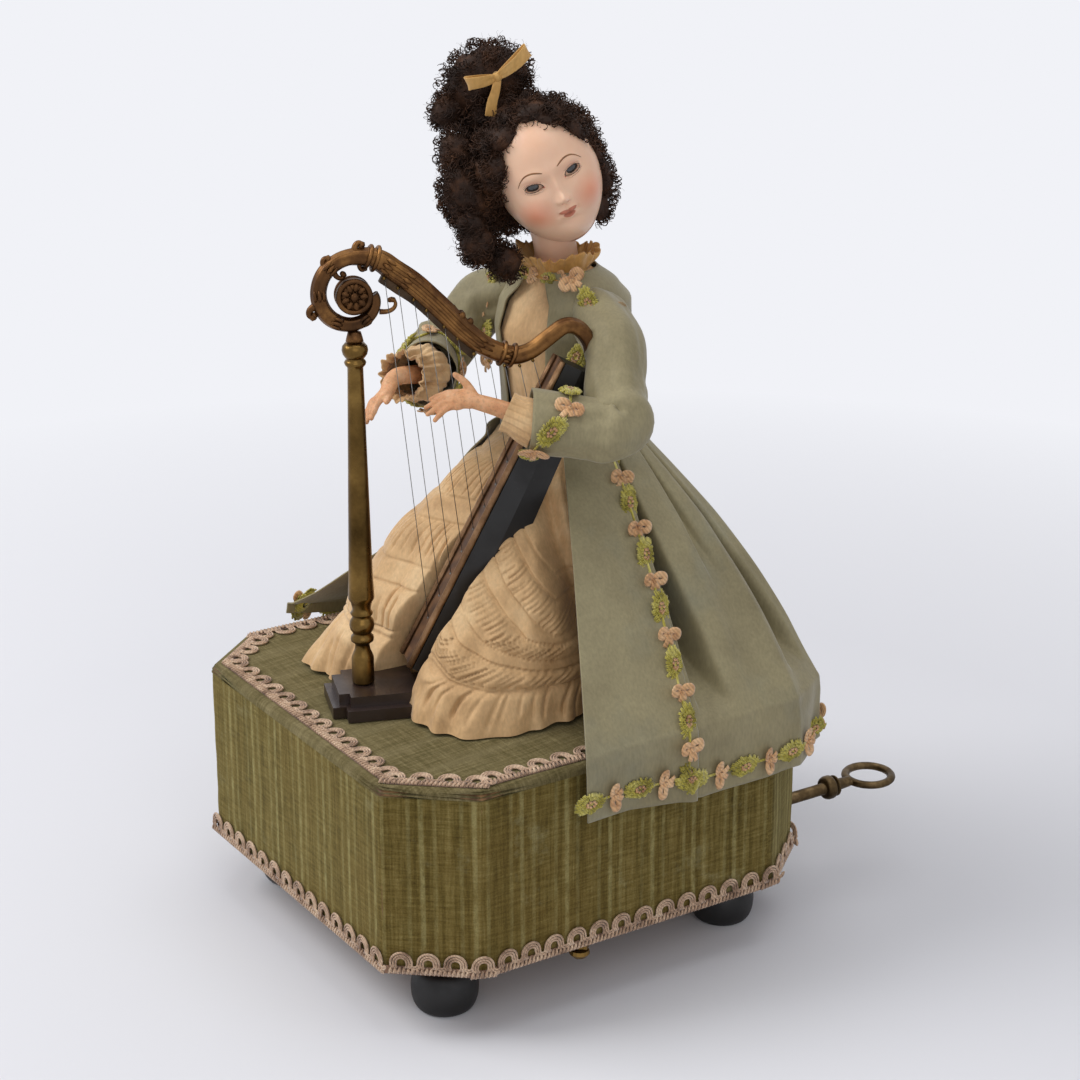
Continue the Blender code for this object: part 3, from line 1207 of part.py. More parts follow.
def make_coat():
    """The long open coat: a flat front panel, then folds that fan out to a hem past the case's edges."""
    columns = 45
    outer = [[coat_spot(c, columns, r, 0) for c in range(columns)] for r in range(len(COAT_FALL))]
    inner = [[coat_spot(c, columns, r, 1.2) for c in range(columns)] for r in range(len(COAT_FALL))]
    finish_mesh("coat", sheet(outer, inner), "coat_silk")
    make_coat_bodice()


COAT_BODICE = ((270.4, 36.2, 22, 44.2), (273, 35, 22, 43), (290, 34, 24, 43), (310, 35, 27, 43),
               (328, 36, 29, 45), (342, 35.5, 24, 45),
               (352, 31, 18, 35), (361.6, 20.5, 14.5, 23))


def bodice_point(row, share, inward):
    z, side, front, back = COAT_BODICE[row]
    opening = 42 if row < 6 else 30
    around = math.radians(opening + (360 - 2 * opening) * share)
    c, s = math.cos(around), math.sin(around)
    reach = 1 / math.sqrt((c / (front if c > 0 else back)) ** 2 + (s / side) ** 2)
    return body((reach - inward) * s * MM, (reach - inward) * c * MM, z * MM)


def make_coat_bodice():
    columns = 22
    rows = range(len(COAT_BODICE))
    outer = [[bodice_point(r, c / (columns - 1), 0) for c in range(columns)] for r in rows]
    inner = [[bodice_point(r, c / (columns - 1), 1.2) for c in range(columns)] for r in rows]
    coat = finish_mesh("coat_bodice", sheet(outer, inner), "coat_silk")
    for side, sign in (("left", 1), ("right", -1)):
        corners = [body(sign * x * MM, y * MM, 0) for x, y in ((19, -36), (62, -36), (62, 14), (19, 14))]
        if sign < 0:
            corners.reverse()
        hole = finish_mesh(f"{side}_armhole", outline_prism(
            [(p.x, p.y) for p in corners], SHOULDER_Z - 12 * MM, SHOULDER_Z + 9.5 * MM), "coat_silk",
                           smooth=False)
        boolean(coat, hole)
    front = []
    for z, half, ahead in ((278, 13, 16.7), (300, 15, 19.9), (325, 17, 23.9), (340, 16, 18.1),
                           (351, 10, 11.1)):
        row = []
        for c in range(7):
            side = half * (c / 3 - 1)
            row.append((side, ahead * math.sqrt(max(0.0, 1 - (side / 38) ** 2)), z))
        front.append(row)
    over = [[body(x * MM, (y + 1) * MM, z * MM) for x, y, z in row] for row in front]
    under = [[body(x * MM, y * MM, z * MM) for x, y, z in row] for row in front]
    finish_mesh("bodice_front", sheet(over, under), "silk")


def place_on_origin():
    """Stand the whole object with the middle of its box over the origin."""
    back = CASE_D / 2 + KEY_BOW_Y + KEY_BOW_R
    front = CASE_D / 2 + GAP + GIMP_T
    root = bpy.data.objects.new("automaton", None)
    bpy.context.collection.objects.link(root)
    for made in list(bpy.data.objects):
        if made.parent is None and made is not root:
            made.parent = root
    root.location = (0, (front - back) / 2, 0)


def main():
    clear_scene()
    make_case()
    make_plates()
    make_barrel()
    make_click()
    make_train()
    make_comb()
    make_levers()
    make_stop()
    make_harp()
    make_torso()
    make_arm("left", 1)
    make_arm("right", -1)
    make_head()
    make_skirt()
    make_coat()
    place_on_origin()


main()
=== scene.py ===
"""The look of a seated lady harpist automaton: cloth, braid, hair, face, carving and finishes."""

import math
import random

import bmesh
import bpy
from mathutils import Matrix, Vector, noise


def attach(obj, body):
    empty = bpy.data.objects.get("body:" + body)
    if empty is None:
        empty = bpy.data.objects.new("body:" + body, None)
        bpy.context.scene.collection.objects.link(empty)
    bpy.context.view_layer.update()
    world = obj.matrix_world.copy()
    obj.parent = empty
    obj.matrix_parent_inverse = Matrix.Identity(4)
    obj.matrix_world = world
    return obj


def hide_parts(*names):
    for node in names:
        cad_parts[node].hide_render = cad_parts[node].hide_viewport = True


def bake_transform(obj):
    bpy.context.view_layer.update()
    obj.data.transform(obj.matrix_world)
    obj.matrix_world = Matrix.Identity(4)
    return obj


MM = 0.001
SHIFT = Vector((0, -0.0371, 0))
CAMERA_AT = (1.0933, -0.7182, 0.6848)
CAMERA_BACK = (0.7895, -0.5097, 0.3419)
LENS = 84.11

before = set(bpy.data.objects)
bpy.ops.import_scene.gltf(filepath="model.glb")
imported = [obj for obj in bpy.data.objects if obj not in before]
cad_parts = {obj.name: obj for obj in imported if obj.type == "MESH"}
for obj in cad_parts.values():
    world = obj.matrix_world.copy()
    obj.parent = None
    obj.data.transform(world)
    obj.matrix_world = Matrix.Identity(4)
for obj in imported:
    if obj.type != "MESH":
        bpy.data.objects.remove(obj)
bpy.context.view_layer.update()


# Mesh helpers

def place(points):
    """Points in millimetres round the case's middle, moved to the model's frame in metres."""
    return [Vector(p) * MM + SHIFT for p in points]


def build(name, verts, faces, body, paint, smooth=True):
    """A mesh piece that rides on a body and has one material."""
    mesh = bpy.data.meshes.new(name)
    mesh.from_pydata([tuple(v) for v in verts], [], faces)
    mesh.validate()
    made = bpy.data.objects.new(name, mesh)
    bpy.context.collection.objects.link(made)
    if smooth:
        mesh.polygons.foreach_set("use_smooth", [True] * len(mesh.polygons))
    mesh.materials.append(paint)
    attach(made, body)
    return made


def grid_faces(rows, columns, wrap=False, start=0):
    """The quads of a grid of points stored row by row."""
    faces = []
    for r in range(rows - 1):
        for c in range(columns if wrap else columns - 1):
            right = (c + 1) % columns
            faces.append((start + r * columns + c, start + r * columns + right,
                          start + (r + 1) * columns + right, start + (r + 1) * columns + c))
    return faces


def directions(path):
    """The unit direction of a path at each of its points."""
    last = len(path) - 1
    return [(path[min(i + 1, last)] - path[max(i - 1, 0)]).normalized() for i in range(len(path))]


def frames(path, up=Vector((0, 0, 1))):
    """A side and a normal at each point of a path, carried along it without a twist."""
    found = []
    normal = None
    for d in directions(path):
        guide = normal if normal is not None else up
        if abs(d.dot(guide)) > 0.98:
            guide = Vector((1, 0, 0)) if abs(d.x) < 0.9 else Vector((0, 1, 0))
        normal = (guide - d * guide.dot(d)).normalized()
        found.append((d.cross(normal), normal))
    return found


class Cloud:
    """Gathers many small forms into one mesh."""

    def __init__(self):
        self.verts = []
        self.faces = []

    def add(self, verts, faces):
        start = len(self.verts)
        self.verts += verts
        self.faces += [tuple(start + i for i in face) for face in faces]

    def tube(self, path, radii, sides=6, closed=False, up=Vector((0, 0, 1)), flat=1.0):
        """A round or flattened tube along a path."""
        if not hasattr(radii, "__len__"):
            radii = [radii] * len(path)
        verts = []
        for point, radius, (side, normal) in zip(path, radii, frames(path, up)):
            for k in range(sides):
                a = math.tau * k / sides
                verts.append(point + side * radius * math.cos(a) + normal * radius * flat * math.sin(a))
        rows = len(path)
        faces = grid_faces(rows, sides, True)
        if closed:
            faces += [((rows - 1) * sides + k, (rows - 1) * sides + (k + 1) % sides, (k + 1) % sides, k)
                      for k in range(sides)]
        else:
            faces += [tuple(reversed(range(sides))), tuple((rows - 1) * sides + k for k in range(sides))]
        self.add(verts, faces)

    def ball(self, centre, sizes, turn=None, rings=6, sides=8):
        """A small rounded form with its own three sizes."""
        verts = [Vector((0, 0, 1))]
        for i in range(1, rings):
            a = math.pi * i / rings
            for k in range(sides):
                b = math.tau * k / sides
                verts.append(Vector((math.sin(a) * math.cos(b), math.sin(a) * math.sin(b), math.cos(a))))
        verts.append(Vector((0, 0, -1)))
        verts = [Vector((v.x * sizes[0], v.y * sizes[1], v.z * sizes[2])) for v in verts]
        if turn is not None:
            verts = [turn @ v for v in verts]
        faces = [(0, 1 + k, 1 + (k + 1) % sides) for k in range(sides)]
        faces += grid_faces(rings - 1, sides, True, 1)
        end = len(verts) - 1
        faces += [(end, end - sides + (k + 1) % sides, end - sides + k) for k in range(sides)]
        self.add([Vector(centre) + v for v in verts], faces)

    def piece(self, name, body, paint, slot=None, smooth=True):
        return build(name, self.verts, self.faces, body, paint, smooth)


def thick(name, rows, thickness, body, paint, slot=None, wrap=False, levels=1):
    """A sheet of cloth from a grid of points, with a real thickness and a smooth surface."""
    columns = len(rows[0])
    made = build(name, [p for row in rows for p in row], grid_faces(len(rows), columns, wrap), body, paint)
    solid = made.modifiers.new("thickness", "SOLIDIFY")
    solid.thickness = thickness
    solid.offset = 0
    if levels:
        smooth = made.modifiers.new("smooth", "SUBSURF")
        smooth.levels = levels
        smooth.render_levels = levels
    return made


def soften(made, levels=1):
    smooth = made.modifiers.new("smooth", "SUBSURF")
    smooth.levels = levels
    smooth.render_levels = levels
    return made


def spline(points, steps):
    """A smooth path through points, with a number of steps in each span."""
    points = [Vector(p) for p in points]
    path = []
    for i in range(len(points) - 1):
        a = points[max(i - 1, 0)]
        b, c = points[i], points[i + 1]
        d = points[min(i + 2, len(points) - 1)]
        for k in range(steps):
            t = k / steps
            path.append(0.5 * ((2 * b) + (c - a) * t + (2 * a - 5 * b + 4 * c - d) * t * t
                               + (3 * b - a - 3 * c + d) * t ** 3))
    path.append(points[-1])
    return path


def walk(path, step):
    """Points along a path that lie a step apart, each with its direction."""
    found = []
    travelled = 0.0
    wanted = 0.0
    for a, b in zip(path, path[1:]):
        length = (b - a).length
        while length > 0 and wanted <= travelled + length:
            found.append((a.lerp(b, (wanted - travelled) / length), (b - a).normalized()))
            wanted += step
        travelled += length
    return found


# Materials

class Paint:
    """A node material: a Principled shader with colour, roughness and bump made from procedural textures."""

    def __init__(self, name, roughness=0.6, metallic=0.0, sheen=0.0, coat=0.0, specular=0.5):
        self.material = bpy.data.materials.new(name)
        self.material.use_nodes = True
        self.nodes = self.material.node_tree.nodes
        self.links = self.material.node_tree.links
        self.shader = self.nodes["Principled BSDF"]
        self.set(Roughness=roughness, Metallic=metallic)
        self.shader.inputs["Sheen Weight"].default_value = sheen
        self.shader.inputs["Coat Weight"].default_value = coat
        self.shader.inputs["Specular IOR Level"].default_value = specular
        self.place = self.nodes.new("ShaderNodeTexCoord").outputs["Object"]

    def set(self, **values):
        for key, value in values.items():
            self.shader.inputs[key].default_value = value

    def node(self, kind, **values):
        made = self.nodes.new("ShaderNode" + kind)
        for key, value in values.items():
            setattr(made, key, value)
        return made

    def link(self, a, b):
        self.links.new(a, b)

    def stretched(self, scale, location=(0, 0, 0), rotation=(0, 0, 0), source=None):
        made = self.node("Mapping")
        made.inputs["Scale"].default_value = scale
        made.inputs["Location"].default_value = location
        made.inputs["Rotation"].default_value = rotation
        self.link(source or self.place, made.inputs["Vector"])
        return made.outputs["Vector"]

    def noise(self, scale, detail=3.0, source=None, rough=0.5, distortion=0.0):
        made = self.node("TexNoise")
        made.inputs["Scale"].default_value = scale
        made.inputs["Detail"].default_value = detail
        made.inputs["Roughness"].default_value = rough
        made.inputs["Distortion"].default_value = distortion
        self.link(source or self.place, made.inputs["Vector"])
        return made.outputs["Fac"]

    def wave(self, scale, direction="X", source=None, distortion=0.0, detail=1.0, profile="SIN"):
        made = self.node("TexWave", bands_direction=direction, wave_profile=profile)
        made.inputs["Scale"].default_value = scale
        made.inputs["Distortion"].default_value = distortion
        made.inputs["Detail"].default_value = detail
        self.link(source or self.place, made.inputs["Vector"])
        return made.outputs["Fac"]

    def cells(self, scale, source=None, feature="F1"):
        made = self.node("TexVoronoi", feature=feature)
        made.inputs["Scale"].default_value = scale
        self.link(source or self.place, made.inputs["Vector"])
        return made.outputs["Distance"]

    def maths(self, operation, a, b=None, clamp=False):
        made = self.node("Math", operation=operation, use_clamp=clamp)
        for i, value in enumerate((a, b)):
            if value is None:
                continue
            if isinstance(value, (int, float)):
                made.inputs[i].default_value = value
            else:
                self.link(value, made.inputs[i])
        return made.outputs[0]

    def ramp(self, factor, *stops):
        """Colours or greys at places from 0 to 1."""
        made = self.node("ValToRGB")
        elements = made.color_ramp.elements
        while len(elements) < len(stops):
            elements.new(0.5)
        for element, (place_at, colour) in zip(elements, stops):
            element.position = place_at
            element.color = (*colour, 1) if hasattr(colour, "__len__") else (colour, colour, colour, 1)
        self.link(factor, made.inputs["Fac"])
        return made.outputs["Color"]

    def mix(self, factor, a, b, blend="MIX"):
        made = self.node("Mix", data_type="RGBA", blend_type=blend)
        for socket, value in ((made.inputs[0], factor), (made.inputs[6], a), (made.inputs[7], b)):
            if isinstance(value, (int, float)):
                socket.default_value = value
            elif isinstance(value, tuple):
                socket.default_value = (*value, 1)
            else:
                self.link(value, socket)
        return made.outputs[2]

    def colour(self, value):
        self.link(value, self.shader.inputs["Base Color"])
        return self

    def rough(self, value):
        self.link(value, self.shader.inputs["Roughness"])
        return self

    def bump(self, height, strength=0.3, distance=0.0005):
        made = self.node("Bump")
        made.inputs["Strength"].default_value = strength
        made.inputs["Distance"].default_value = distance
        self.link(height, made.inputs["Height"])
        old = self.shader.inputs["Normal"]
        if old.is_linked:
            self.link(old.links[0].from_socket, made.inputs["Normal"])
        self.link(made.outputs["Normal"], old)
        return self

    def split(self, source=None):
        made = self.node("SeparateXYZ")
        self.link(source or self.place, made.inputs[0])
        return made.outputs


def srgb(r, g, b):
    """A colour read as 0 to 255 values, in the linear values that the shader takes."""
    return tuple((v / 255 / 12.92) if v <= 10 else ((v / 255 + 0.055) / 1.055) ** 2.4 for v in (r, g, b))


# Finishes

def worn_velvet(name, stripes):
    """Olive cotton velvet: a fine cross weave shows through worn pile, with narrow upright lines on the sides."""
    paint = Paint(name, roughness=0.95, sheen=0.3, specular=0.1)
    paint.set(**{"Sheen Roughness": 0.45, "Sheen Tint": (*srgb(196, 192, 140), 1)})
    along = paint.node("TexCoord").outputs["UV"]
    fine = paint.noise(1100, 2)
    patch = paint.ramp(paint.noise(11, 5, rough=0.7), (0.42, 0), (0.7, 1))
    across = paint.noise(1.0, 3, paint.stretched((60, 620, 1), source=along), 0.6)
    upright = paint.noise(1.0, 3, paint.stretched((620, 40, 1), source=along), 0.6)
    weave = paint.maths("MULTIPLY", paint.maths("ADD", across, upright), 0.5)
    if stripes:
        broad = paint.noise(1.0, 2, paint.stretched((120, 2.2, 1), source=along), 0.6)
        base = paint.ramp(paint.maths("ADD", paint.maths("MULTIPLY", weave, 0.7), paint.maths("MULTIPLY", broad, 0.3)),
                          (0.36, srgb(70, 57, 24)), (0.47, srgb(98, 83, 40)), (0.55, srgb(118, 102, 56)),
                          (0.66, srgb(142, 127, 78)))
        line = paint.ramp(paint.wave(23.3, "X", along, 0.15, 0.0), (0.9, 0), (0.985, 1))
        other = paint.ramp(paint.wave(11.65, "X", along, 0.2, 0.0), (0.965, 0), (0.995, 1))
        dark = paint.ramp(paint.wave(46.6, "X", along, 0.3, 0.0), (0.9, 0), (1.0, 1))
        broken = paint.ramp(paint.noise(1.0, 4, paint.stretched((180, 90, 1), source=along), 0.7), (0.34, 0.15),
                            (0.62, 1))
        pale = paint.maths("MULTIPLY", paint.maths("MAXIMUM", paint.maths("MULTIPLY", line, 0.55), other), broken)
        base = paint.mix(paint.maths("MULTIPLY", dark, 0.35), base, srgb(78, 66, 26))
        base = paint.mix(paint.maths("MULTIPLY", pale, 0.72), base, srgb(158, 149, 100))
        base = paint.mix(paint.maths("MULTIPLY", patch, 0.3), base, srgb(116, 90, 42))
        rub = paint.ramp(paint.noise(26, 5, rough=0.75), (0.6, 0), (0.76, 1))
        base = paint.mix(paint.maths("MULTIPLY", rub, 0.4), base, srgb(160, 156, 118))
    else:
        base = paint.ramp(weave, (0.36, srgb(80, 71, 42)), (0.5, srgb(102, 91, 60)), (0.64, srgb(128, 116, 82)))
        line = paint.wave(11.65, "X", along, 1.2, 1.0)
        base = paint.mix(paint.maths("MULTIPLY", paint.ramp(line, (0.7, 0), (1, 1)), 0.22), base, srgb(140, 128, 96))
        base = paint.mix(paint.maths("MULTIPLY", patch, 0.3), base, srgb(138, 126, 92))
    speck = paint.ramp(fine, (0.3, 0.78), (0.7, 1.1))
    paint.colour(paint.mix(1.0, base, speck, "MULTIPLY"))
    paint.bump(fine, 0.5, 0.0006)
    paint.bump(weave, 0.5, 0.0007)
    return paint.material


def braid_paint(name, dark, mid, pale):
    """Cotton and silk cord with the twist of its threads: painted shade darkens the twist's grooves and a faint painted
    highlight lifts its ridges.
    """
    paint = Paint(name, roughness=0.7, sheen=0.3, specular=0.3)
    tone = paint.noise(120, 4, rough=0.6)
    base = paint.ramp(tone, (0.3, dark), (0.5, mid), (0.72, pale))
    twist = paint.wave(260, "DIAGONAL", distortion=2.0, detail=2.0)
    # Painted shade in the grooves of the twist and a faint painted highlight on its ridges, from the wave that also
    # makes the bump.
    base = paint.mix(1.0, base, paint.ramp(twist, (0.1, 0.8), (0.8, 1.06)), "MULTIPLY")
    paint.colour(base)
    paint.bump(twist, 0.5, 0.0003)
    return paint.material


def metal(name, dark, mid, pale, roughness=0.38, metallic=1.0, scale=60.0, bump=0.25):
    """Aged metal: brighter where it is rubbed, dull and dark where it isn't."""
    paint = Paint(name, roughness=roughness, metallic=metallic)
    tone = paint.noise(scale, 6, rough=0.65)
    paint.colour(paint.ramp(tone, (0.3, dark), (0.5, mid), (0.68, pale)))
    paint.rough(paint.ramp(paint.noise(scale * 2.3, 4), (0.3, roughness - 0.1), (0.7, roughness + 0.17)))
    paint.bump(paint.noise(scale * 9, 3), bump, 0.0002)
    return paint.material


def lacquer(name, tone, roughness=0.28, coat=0.5):
    """Dark polish over wood, scuffed in small random patches."""
    paint = Paint(name, roughness=roughness, coat=coat)
    paint.set(**{"Coat Roughness": 0.22})
    wear = paint.ramp(paint.noise(150, 5, rough=0.7), (0.62, 0), (0.78, 1))
    paint.colour(paint.mix(wear, tone, tuple(v * 2.6 + 0.01 for v in tone)))
    paint.rough(paint.ramp(paint.noise(70, 4), (0.3, roughness - 0.06), (0.7, roughness + 0.2)))
    paint.bump(paint.noise(240, 3, paint.stretched((1, 1, 0.2))), 0.2, 0.0002)
    return paint.material


def sawn_wood(name, dark, pale):
    paint = Paint(name, roughness=0.62)
    grain = paint.noise(30, 6, paint.stretched((1, 9, 9)), 0.6)
    ring = paint.wave(45, "Y", distortion=6, detail=3)
    mix = paint.maths("ADD", paint.maths("MULTIPLY", grain, 0.7), paint.maths("MULTIPLY", ring, 0.3))
    paint.colour(paint.ramp(mix, (0.3, dark), (0.7, pale)))
    paint.bump(grain, 0.3, 0.0003)
    return paint.material


# Case

CASE_W, CASE_D = 257.0, 265.5
CHAMFER_X, CHAMFER_Y = 33.3, 40.5
FOOT_H, TOP_Z = 36.0, 140.0
EDGE_ROUND = 4.5
GIMP_INSET, GIMP_W, GIMP_SIDE = 5.5, 12.0, 14.0
GIMP_PITCH = 14.0


def octagon(inset=0.0):
    half_w, half_d = CASE_W / 2, CASE_D / 2
    slope = math.hypot(CHAMFER_X, CHAMFER_Y)
    reach = half_w * CHAMFER_Y + half_d * CHAMFER_X - CHAMFER_X * CHAMFER_Y - inset * slope
    w, d = half_w - inset, half_d - inset
    x_at, y_at = (reach - d * CHAMFER_X) / CHAMFER_Y, (reach - w * CHAMFER_Y) / CHAMFER_X
    quarter = [(w, y_at), (x_at, d)]
    points = quarter + [(-x, y) for x, y in reversed(quarter)]
    return points + [(-x, -y) for x, y in points]


def outline(inset, radius=3.0, step=4.0, z=0.0):
    """The case's outline as a closed line of near points, with its corners rounded."""
    corners = [Vector((x, y, z)) for x, y in octagon(inset)]
    count = len(corners)
    points = []
    for i, corner in enumerate(corners):
        before = (corners[i - 1] - corner).normalized()
        after = (corners[(i + 1) % count] - corner).normalized()
        a, b = corner + before * radius, corner + after * radius
        for k in range(4):
            t = k / 3
            points.append(a * (1 - t) ** 2 + corner * 2 * t * (1 - t) + b * t * t)
        end = corners[(i + 1) % count] - after * radius
        steps = int((end - b).length / step)
        points += [b.lerp(end, k / steps) for k in range(1, steps)]
    return points


def make_velvet(velvet, velvet_top):
    rows = []
    heights = [FOOT_H + 0.4 + (TOP_Z - EDGE_ROUND - FOOT_H - 0.4) * k / 22 for k in range(23)]
    for z in heights:
        line = outline(0.25, z=z)
        for p in line:
            soft = 0.35 * noise.noise(p * 0.03) + 0.2 * noise.noise(p * 0.11)
            shrink = 1 - (0.35 - soft) / 140
            p.x, p.y = p.x * shrink, p.y * shrink
        rows.append(line + [line[0].copy()])
    columns = len(rows[0])
    made = build("velvet_side_cover", [q for row in rows for q in place(row)], grid_faces(len(rows), columns),
                 "base", velvet)
    uv = made.data.uv_layers.new(name="UVMap")
    lengths = [0.0]
    for a, b in zip(rows[0], rows[0][1:]):
        lengths.append(lengths[-1] + (b - a).length * MM)
    for loop in made.data.loops:
        r, c = divmod(loop.vertex_index, columns)
        uv.data[loop.index].uv = (lengths[c], heights[r] * MM)
    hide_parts("velvet_sides")
    top = []
    for k in range(5):
        angle = math.pi / 2 * k / 4
        inset = EDGE_ROUND * (1 - math.cos(angle)) + 0.25
        top.append(outline(inset, z=TOP_Z - EDGE_ROUND * (1 - math.sin(angle)) - 0.2))
    edge = top[-1]
    for k in range(1, 26):
        share = 1 - k / 25 * 0.998
        top.append([Vector((p.x * share, p.y * share, p.z)) for p in edge])
    for row in top[5:]:
        for p in row:
            p.z += 0.18 * noise.noise(p * 0.05) - 0.1
    line = len(edge)
    verts = [q for row in top for q in place(row)]
    faces = grid_faces(len(top), line, True)
    made = build("velvet_top_cover", verts, faces, "base", velvet_top)
    uv = made.data.uv_layers.new(name="UVMap")
    for loop in made.data.loops:
        co = made.data.vertices[loop.vertex_index].co
        uv.data[loop.index].uv = (co.x * 0.9 + co.y * 0.1, co.y)
    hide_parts("velvet_top")


def gimp_unit(cloud, spot, along, out, face, lean):
    """One repeat of scalloped gimp: three arched cords, a row of small loops and a woven edge."""
    def at(u, v, lift):
        return (spot + along * u + out * v + face * lift) * MM + SHIFT

    half = GIMP_PITCH / 2
    for number, radius in enumerate((5.5, 4.1, 2.8)):
        arch = []
        for k in range(11):
            a = math.pi * k / 10
            arch.append(at(math.cos(a) * radius + lean * 0.3, 7.0 + math.sin(a) * radius * 1.02,
                           0.75 + 0.2 * math.sin(a)))
        low = [at(radius * 0.75 + lean, 4.2, 1.2), at(radius + lean * 0.6, 5.6, 0.95)]
        end = [at(-radius + lean * 0.2, 5.6, 0.95), at(-radius * 0.75, 4.2, 1.2)]
        cloud.tube(low + arch + end, 0.62 * MM, 5, up=face)
    for radius in (2.9, 1.7):
        dip = [at(half + math.cos(math.pi * k / 6) * radius, 6.6 - math.sin(math.pi * k / 6) * radius, 1.1)
               for k in range(7)]
        cloud.tube(dip, 0.5 * MM, 5, up=face)
    for k in range(6):
        u = -half + (k + 0.5) * GIMP_PITCH / 6
        swing = 0.5 * math.sin(k * 2.3)
        cloud.tube([at(u - 0.5, 0.5, 0.5), at(u + swing * 0.4, 1.8, 1.25), at(u + 0.4, 3.2, 1.1),
                    at(u + 0.9, 4.5, 0.8)], [0.55 * MM, 0.85 * MM, 0.8 * MM, 0.5 * MM], 5, up=face)
        cloud.tube([at(u + 0.8, 0.6, 0.5), at(u + 1.1, 2.2, 0.8), at(u + 0.6, 4.4, 0.6)], 0.45 * MM, 4, up=face)


def gimp_run(cloud, ring, inward, face_of, seed):
    """Gimp laid along a closed line, its scallops turned inward or up."""
    dice = random.Random(seed)
    closed = ring + [ring[0]]
    length = sum((b - a).length for a, b in zip(closed, closed[1:]))
    count = round(length / GIMP_PITCH)
    for spot, along in walk(closed, length / count)[:count]:
        face = face_of(along)
        out = inward(along)
        gimp_unit(cloud, spot, along, out, face, dice.uniform(-0.5, 0.5))


def make_gimp(paint, backing):
    cloud = Cloud()
    up = Vector((0, 0, 1))
    edge = outline(0.1, 1.5, 2.0, FOOT_H + 0.2)
    gimp_run(cloud, edge, lambda along: up, lambda along: along.cross(up), 3)
    low = cloud.piece("gimp_side_braid", "base", paint, "braid")
    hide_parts("gimp_bottom")
    cloud = Cloud()
    edge = outline(GIMP_INSET + 0.2, 1.5, 2.0, TOP_Z - 0.1)
    gimp_run(cloud, edge, lambda along: up.cross(along), lambda along: up, 5)
    high = cloud.piece("gimp_top_braid", "base", paint, "braid")
    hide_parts("gimp_top")
    for name, inner, outer, z in (("gimp_top_tape", GIMP_INSET + 5.2, GIMP_INSET + 0.3, TOP_Z + 0.15),):
        rows = [place(outline(inset, 1.5, 4.0, z)) for inset in (outer, inner)]
        build(name, [p for row in rows for p in row], grid_faces(2, len(rows[0]), True), "base", backing)
    rows = [place(outline(-0.2, 1.5, 4.0, z)) for z in (FOOT_H + 0.2, FOOT_H + 5.0)]
    build("gimp_side_tape", [p for row in rows for p in row], grid_faces(2, len(rows[0]), True), "base", backing)


# Turned pieces

def lathe(name, profile, place_at, body, paint, sides=48, axis="Z"):
    """A turned form from radius and height pairs in millimetres, with its round edges eased."""
    rows = []
    for radius, height in profile:
        row = []
        for k in range(sides):
            a = math.tau * k / sides
            spot = Vector((radius * math.cos(a), radius * math.sin(a), height))
            if axis == "Y":
                spot = Vector((spot.x, spot.z, -spot.y))
            row.append((Vector(place_at) + spot) * MM + SHIFT)
        rows.append(row)
    faces = grid_faces(len(rows), sides, True)
    faces.append(tuple(reversed(range(sides))))
    faces.append(tuple((len(rows) - 1) * sides + k for k in range(sides)))
    made = build(name, [p for row in rows for p in row], faces, body, paint)
    ease = made.modifiers.new("ease", "BEVEL")
    ease.width = 0.35 * MM
    ease.segments = 2
    ease.limit_method = "ANGLE"
    ease.angle_limit = math.radians(35)
    return made


def rounded(points, steps=6):
    """A turned profile with its free bends rounded."""
    return [(max(0.02, p.x), p.y) for p in spline([(r, h, 0) for r, h in points], steps)]


def make_feet(paint):
    ball = FOOT_H * 0.66
    bulge = [(12.5 + 5.5 * math.sin(a), ball / 2 - ball / 2 * math.cos(a)) for a in
             [math.pi * i / 24 for i in range(1, 24)]]
    profile = [(0.05, 0.02), (12.0, 0.02)] + bulge + [(10.8, ball + 1), (10.2, 26.6), (9.9, 29.5), (11.6, 30.6),
                                                      (13.3, 31.3), (13.5, 33), (13.5, FOOT_H - 0.3), (0.05, FOOT_H - 0.3)]
    for name, sx, sy in (("foot_front_left", 1, -1), ("foot_front_right", -1, -1),
                         ("foot_back_left", 1, 1), ("foot_back_right", -1, 1)):
        foot = lathe(name + "_turned", profile, (sx * (CASE_W / 2 - 42.3), sy * (CASE_D / 2 - 42.3), 0), "base",
                     paint)
        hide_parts(name)


def make_key(paint):
    back = CASE_D / 2
    tip, collar = back + 27, back + 36
    profile = [(0.05, back - 8.5), (3.4, back - 8.5), (3.4, tip), (5.4, tip), (6.3, tip + 0.8), (6.8, tip + 2.2),
               (6.8, collar - 4), (6.2, collar - 3.3), (4.2, collar - 3), (4.4, collar - 2.2), (6.0, collar - 1.4),
               (6.1, collar - 0.6), (4.6, collar + 0.4), (3.4, collar + 1.2), (3.0, back + 45), (3.1, back + 45.5),
               (0.05, back + 45.5)]
    centre = (88, 0, 61)
    stem = lathe("winding_key_stem", profile, centre, "winding", paint, 40, "Y")
    cloud = Cloud()
    ring = []
    for i in range(72):
        a = math.tau * i / 72
        ring.append(Vector((88 + 13.1 * math.cos(a), back + 60 + 13.1 * math.sin(a), 61)) * MM + SHIFT)
    cloud.tube(ring, 2.4 * MM, 14, closed=True, flat=0.9)
    for side in (-1, 1):
        neck = spline([(88 + side * 1.2, back + 44.5, 61), (88 + side * 3.4, back + 46.6, 61),
                       (88 + side * 6.6, back + 49.0, 61)], 5)
        cloud.tube([p * MM + SHIFT for p in neck], 1.7 * MM, 10)
    bow = cloud.piece("winding_key_bow", "winding", paint, "bronze")
    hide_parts("winding_key")
    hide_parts("winding_key")


# Harp

HARP_FOOT = Vector((0, -87.5, 153))
HARP_TURN = Matrix.Rotation(math.radians(-20), 4, "Z")
VOLUTE = Vector((0, 0, 212))


def harp(u, w, n=0.0):
    return (HARP_FOOT + HARP_TURN @ Vector((n, u, w))) * MM + SHIFT


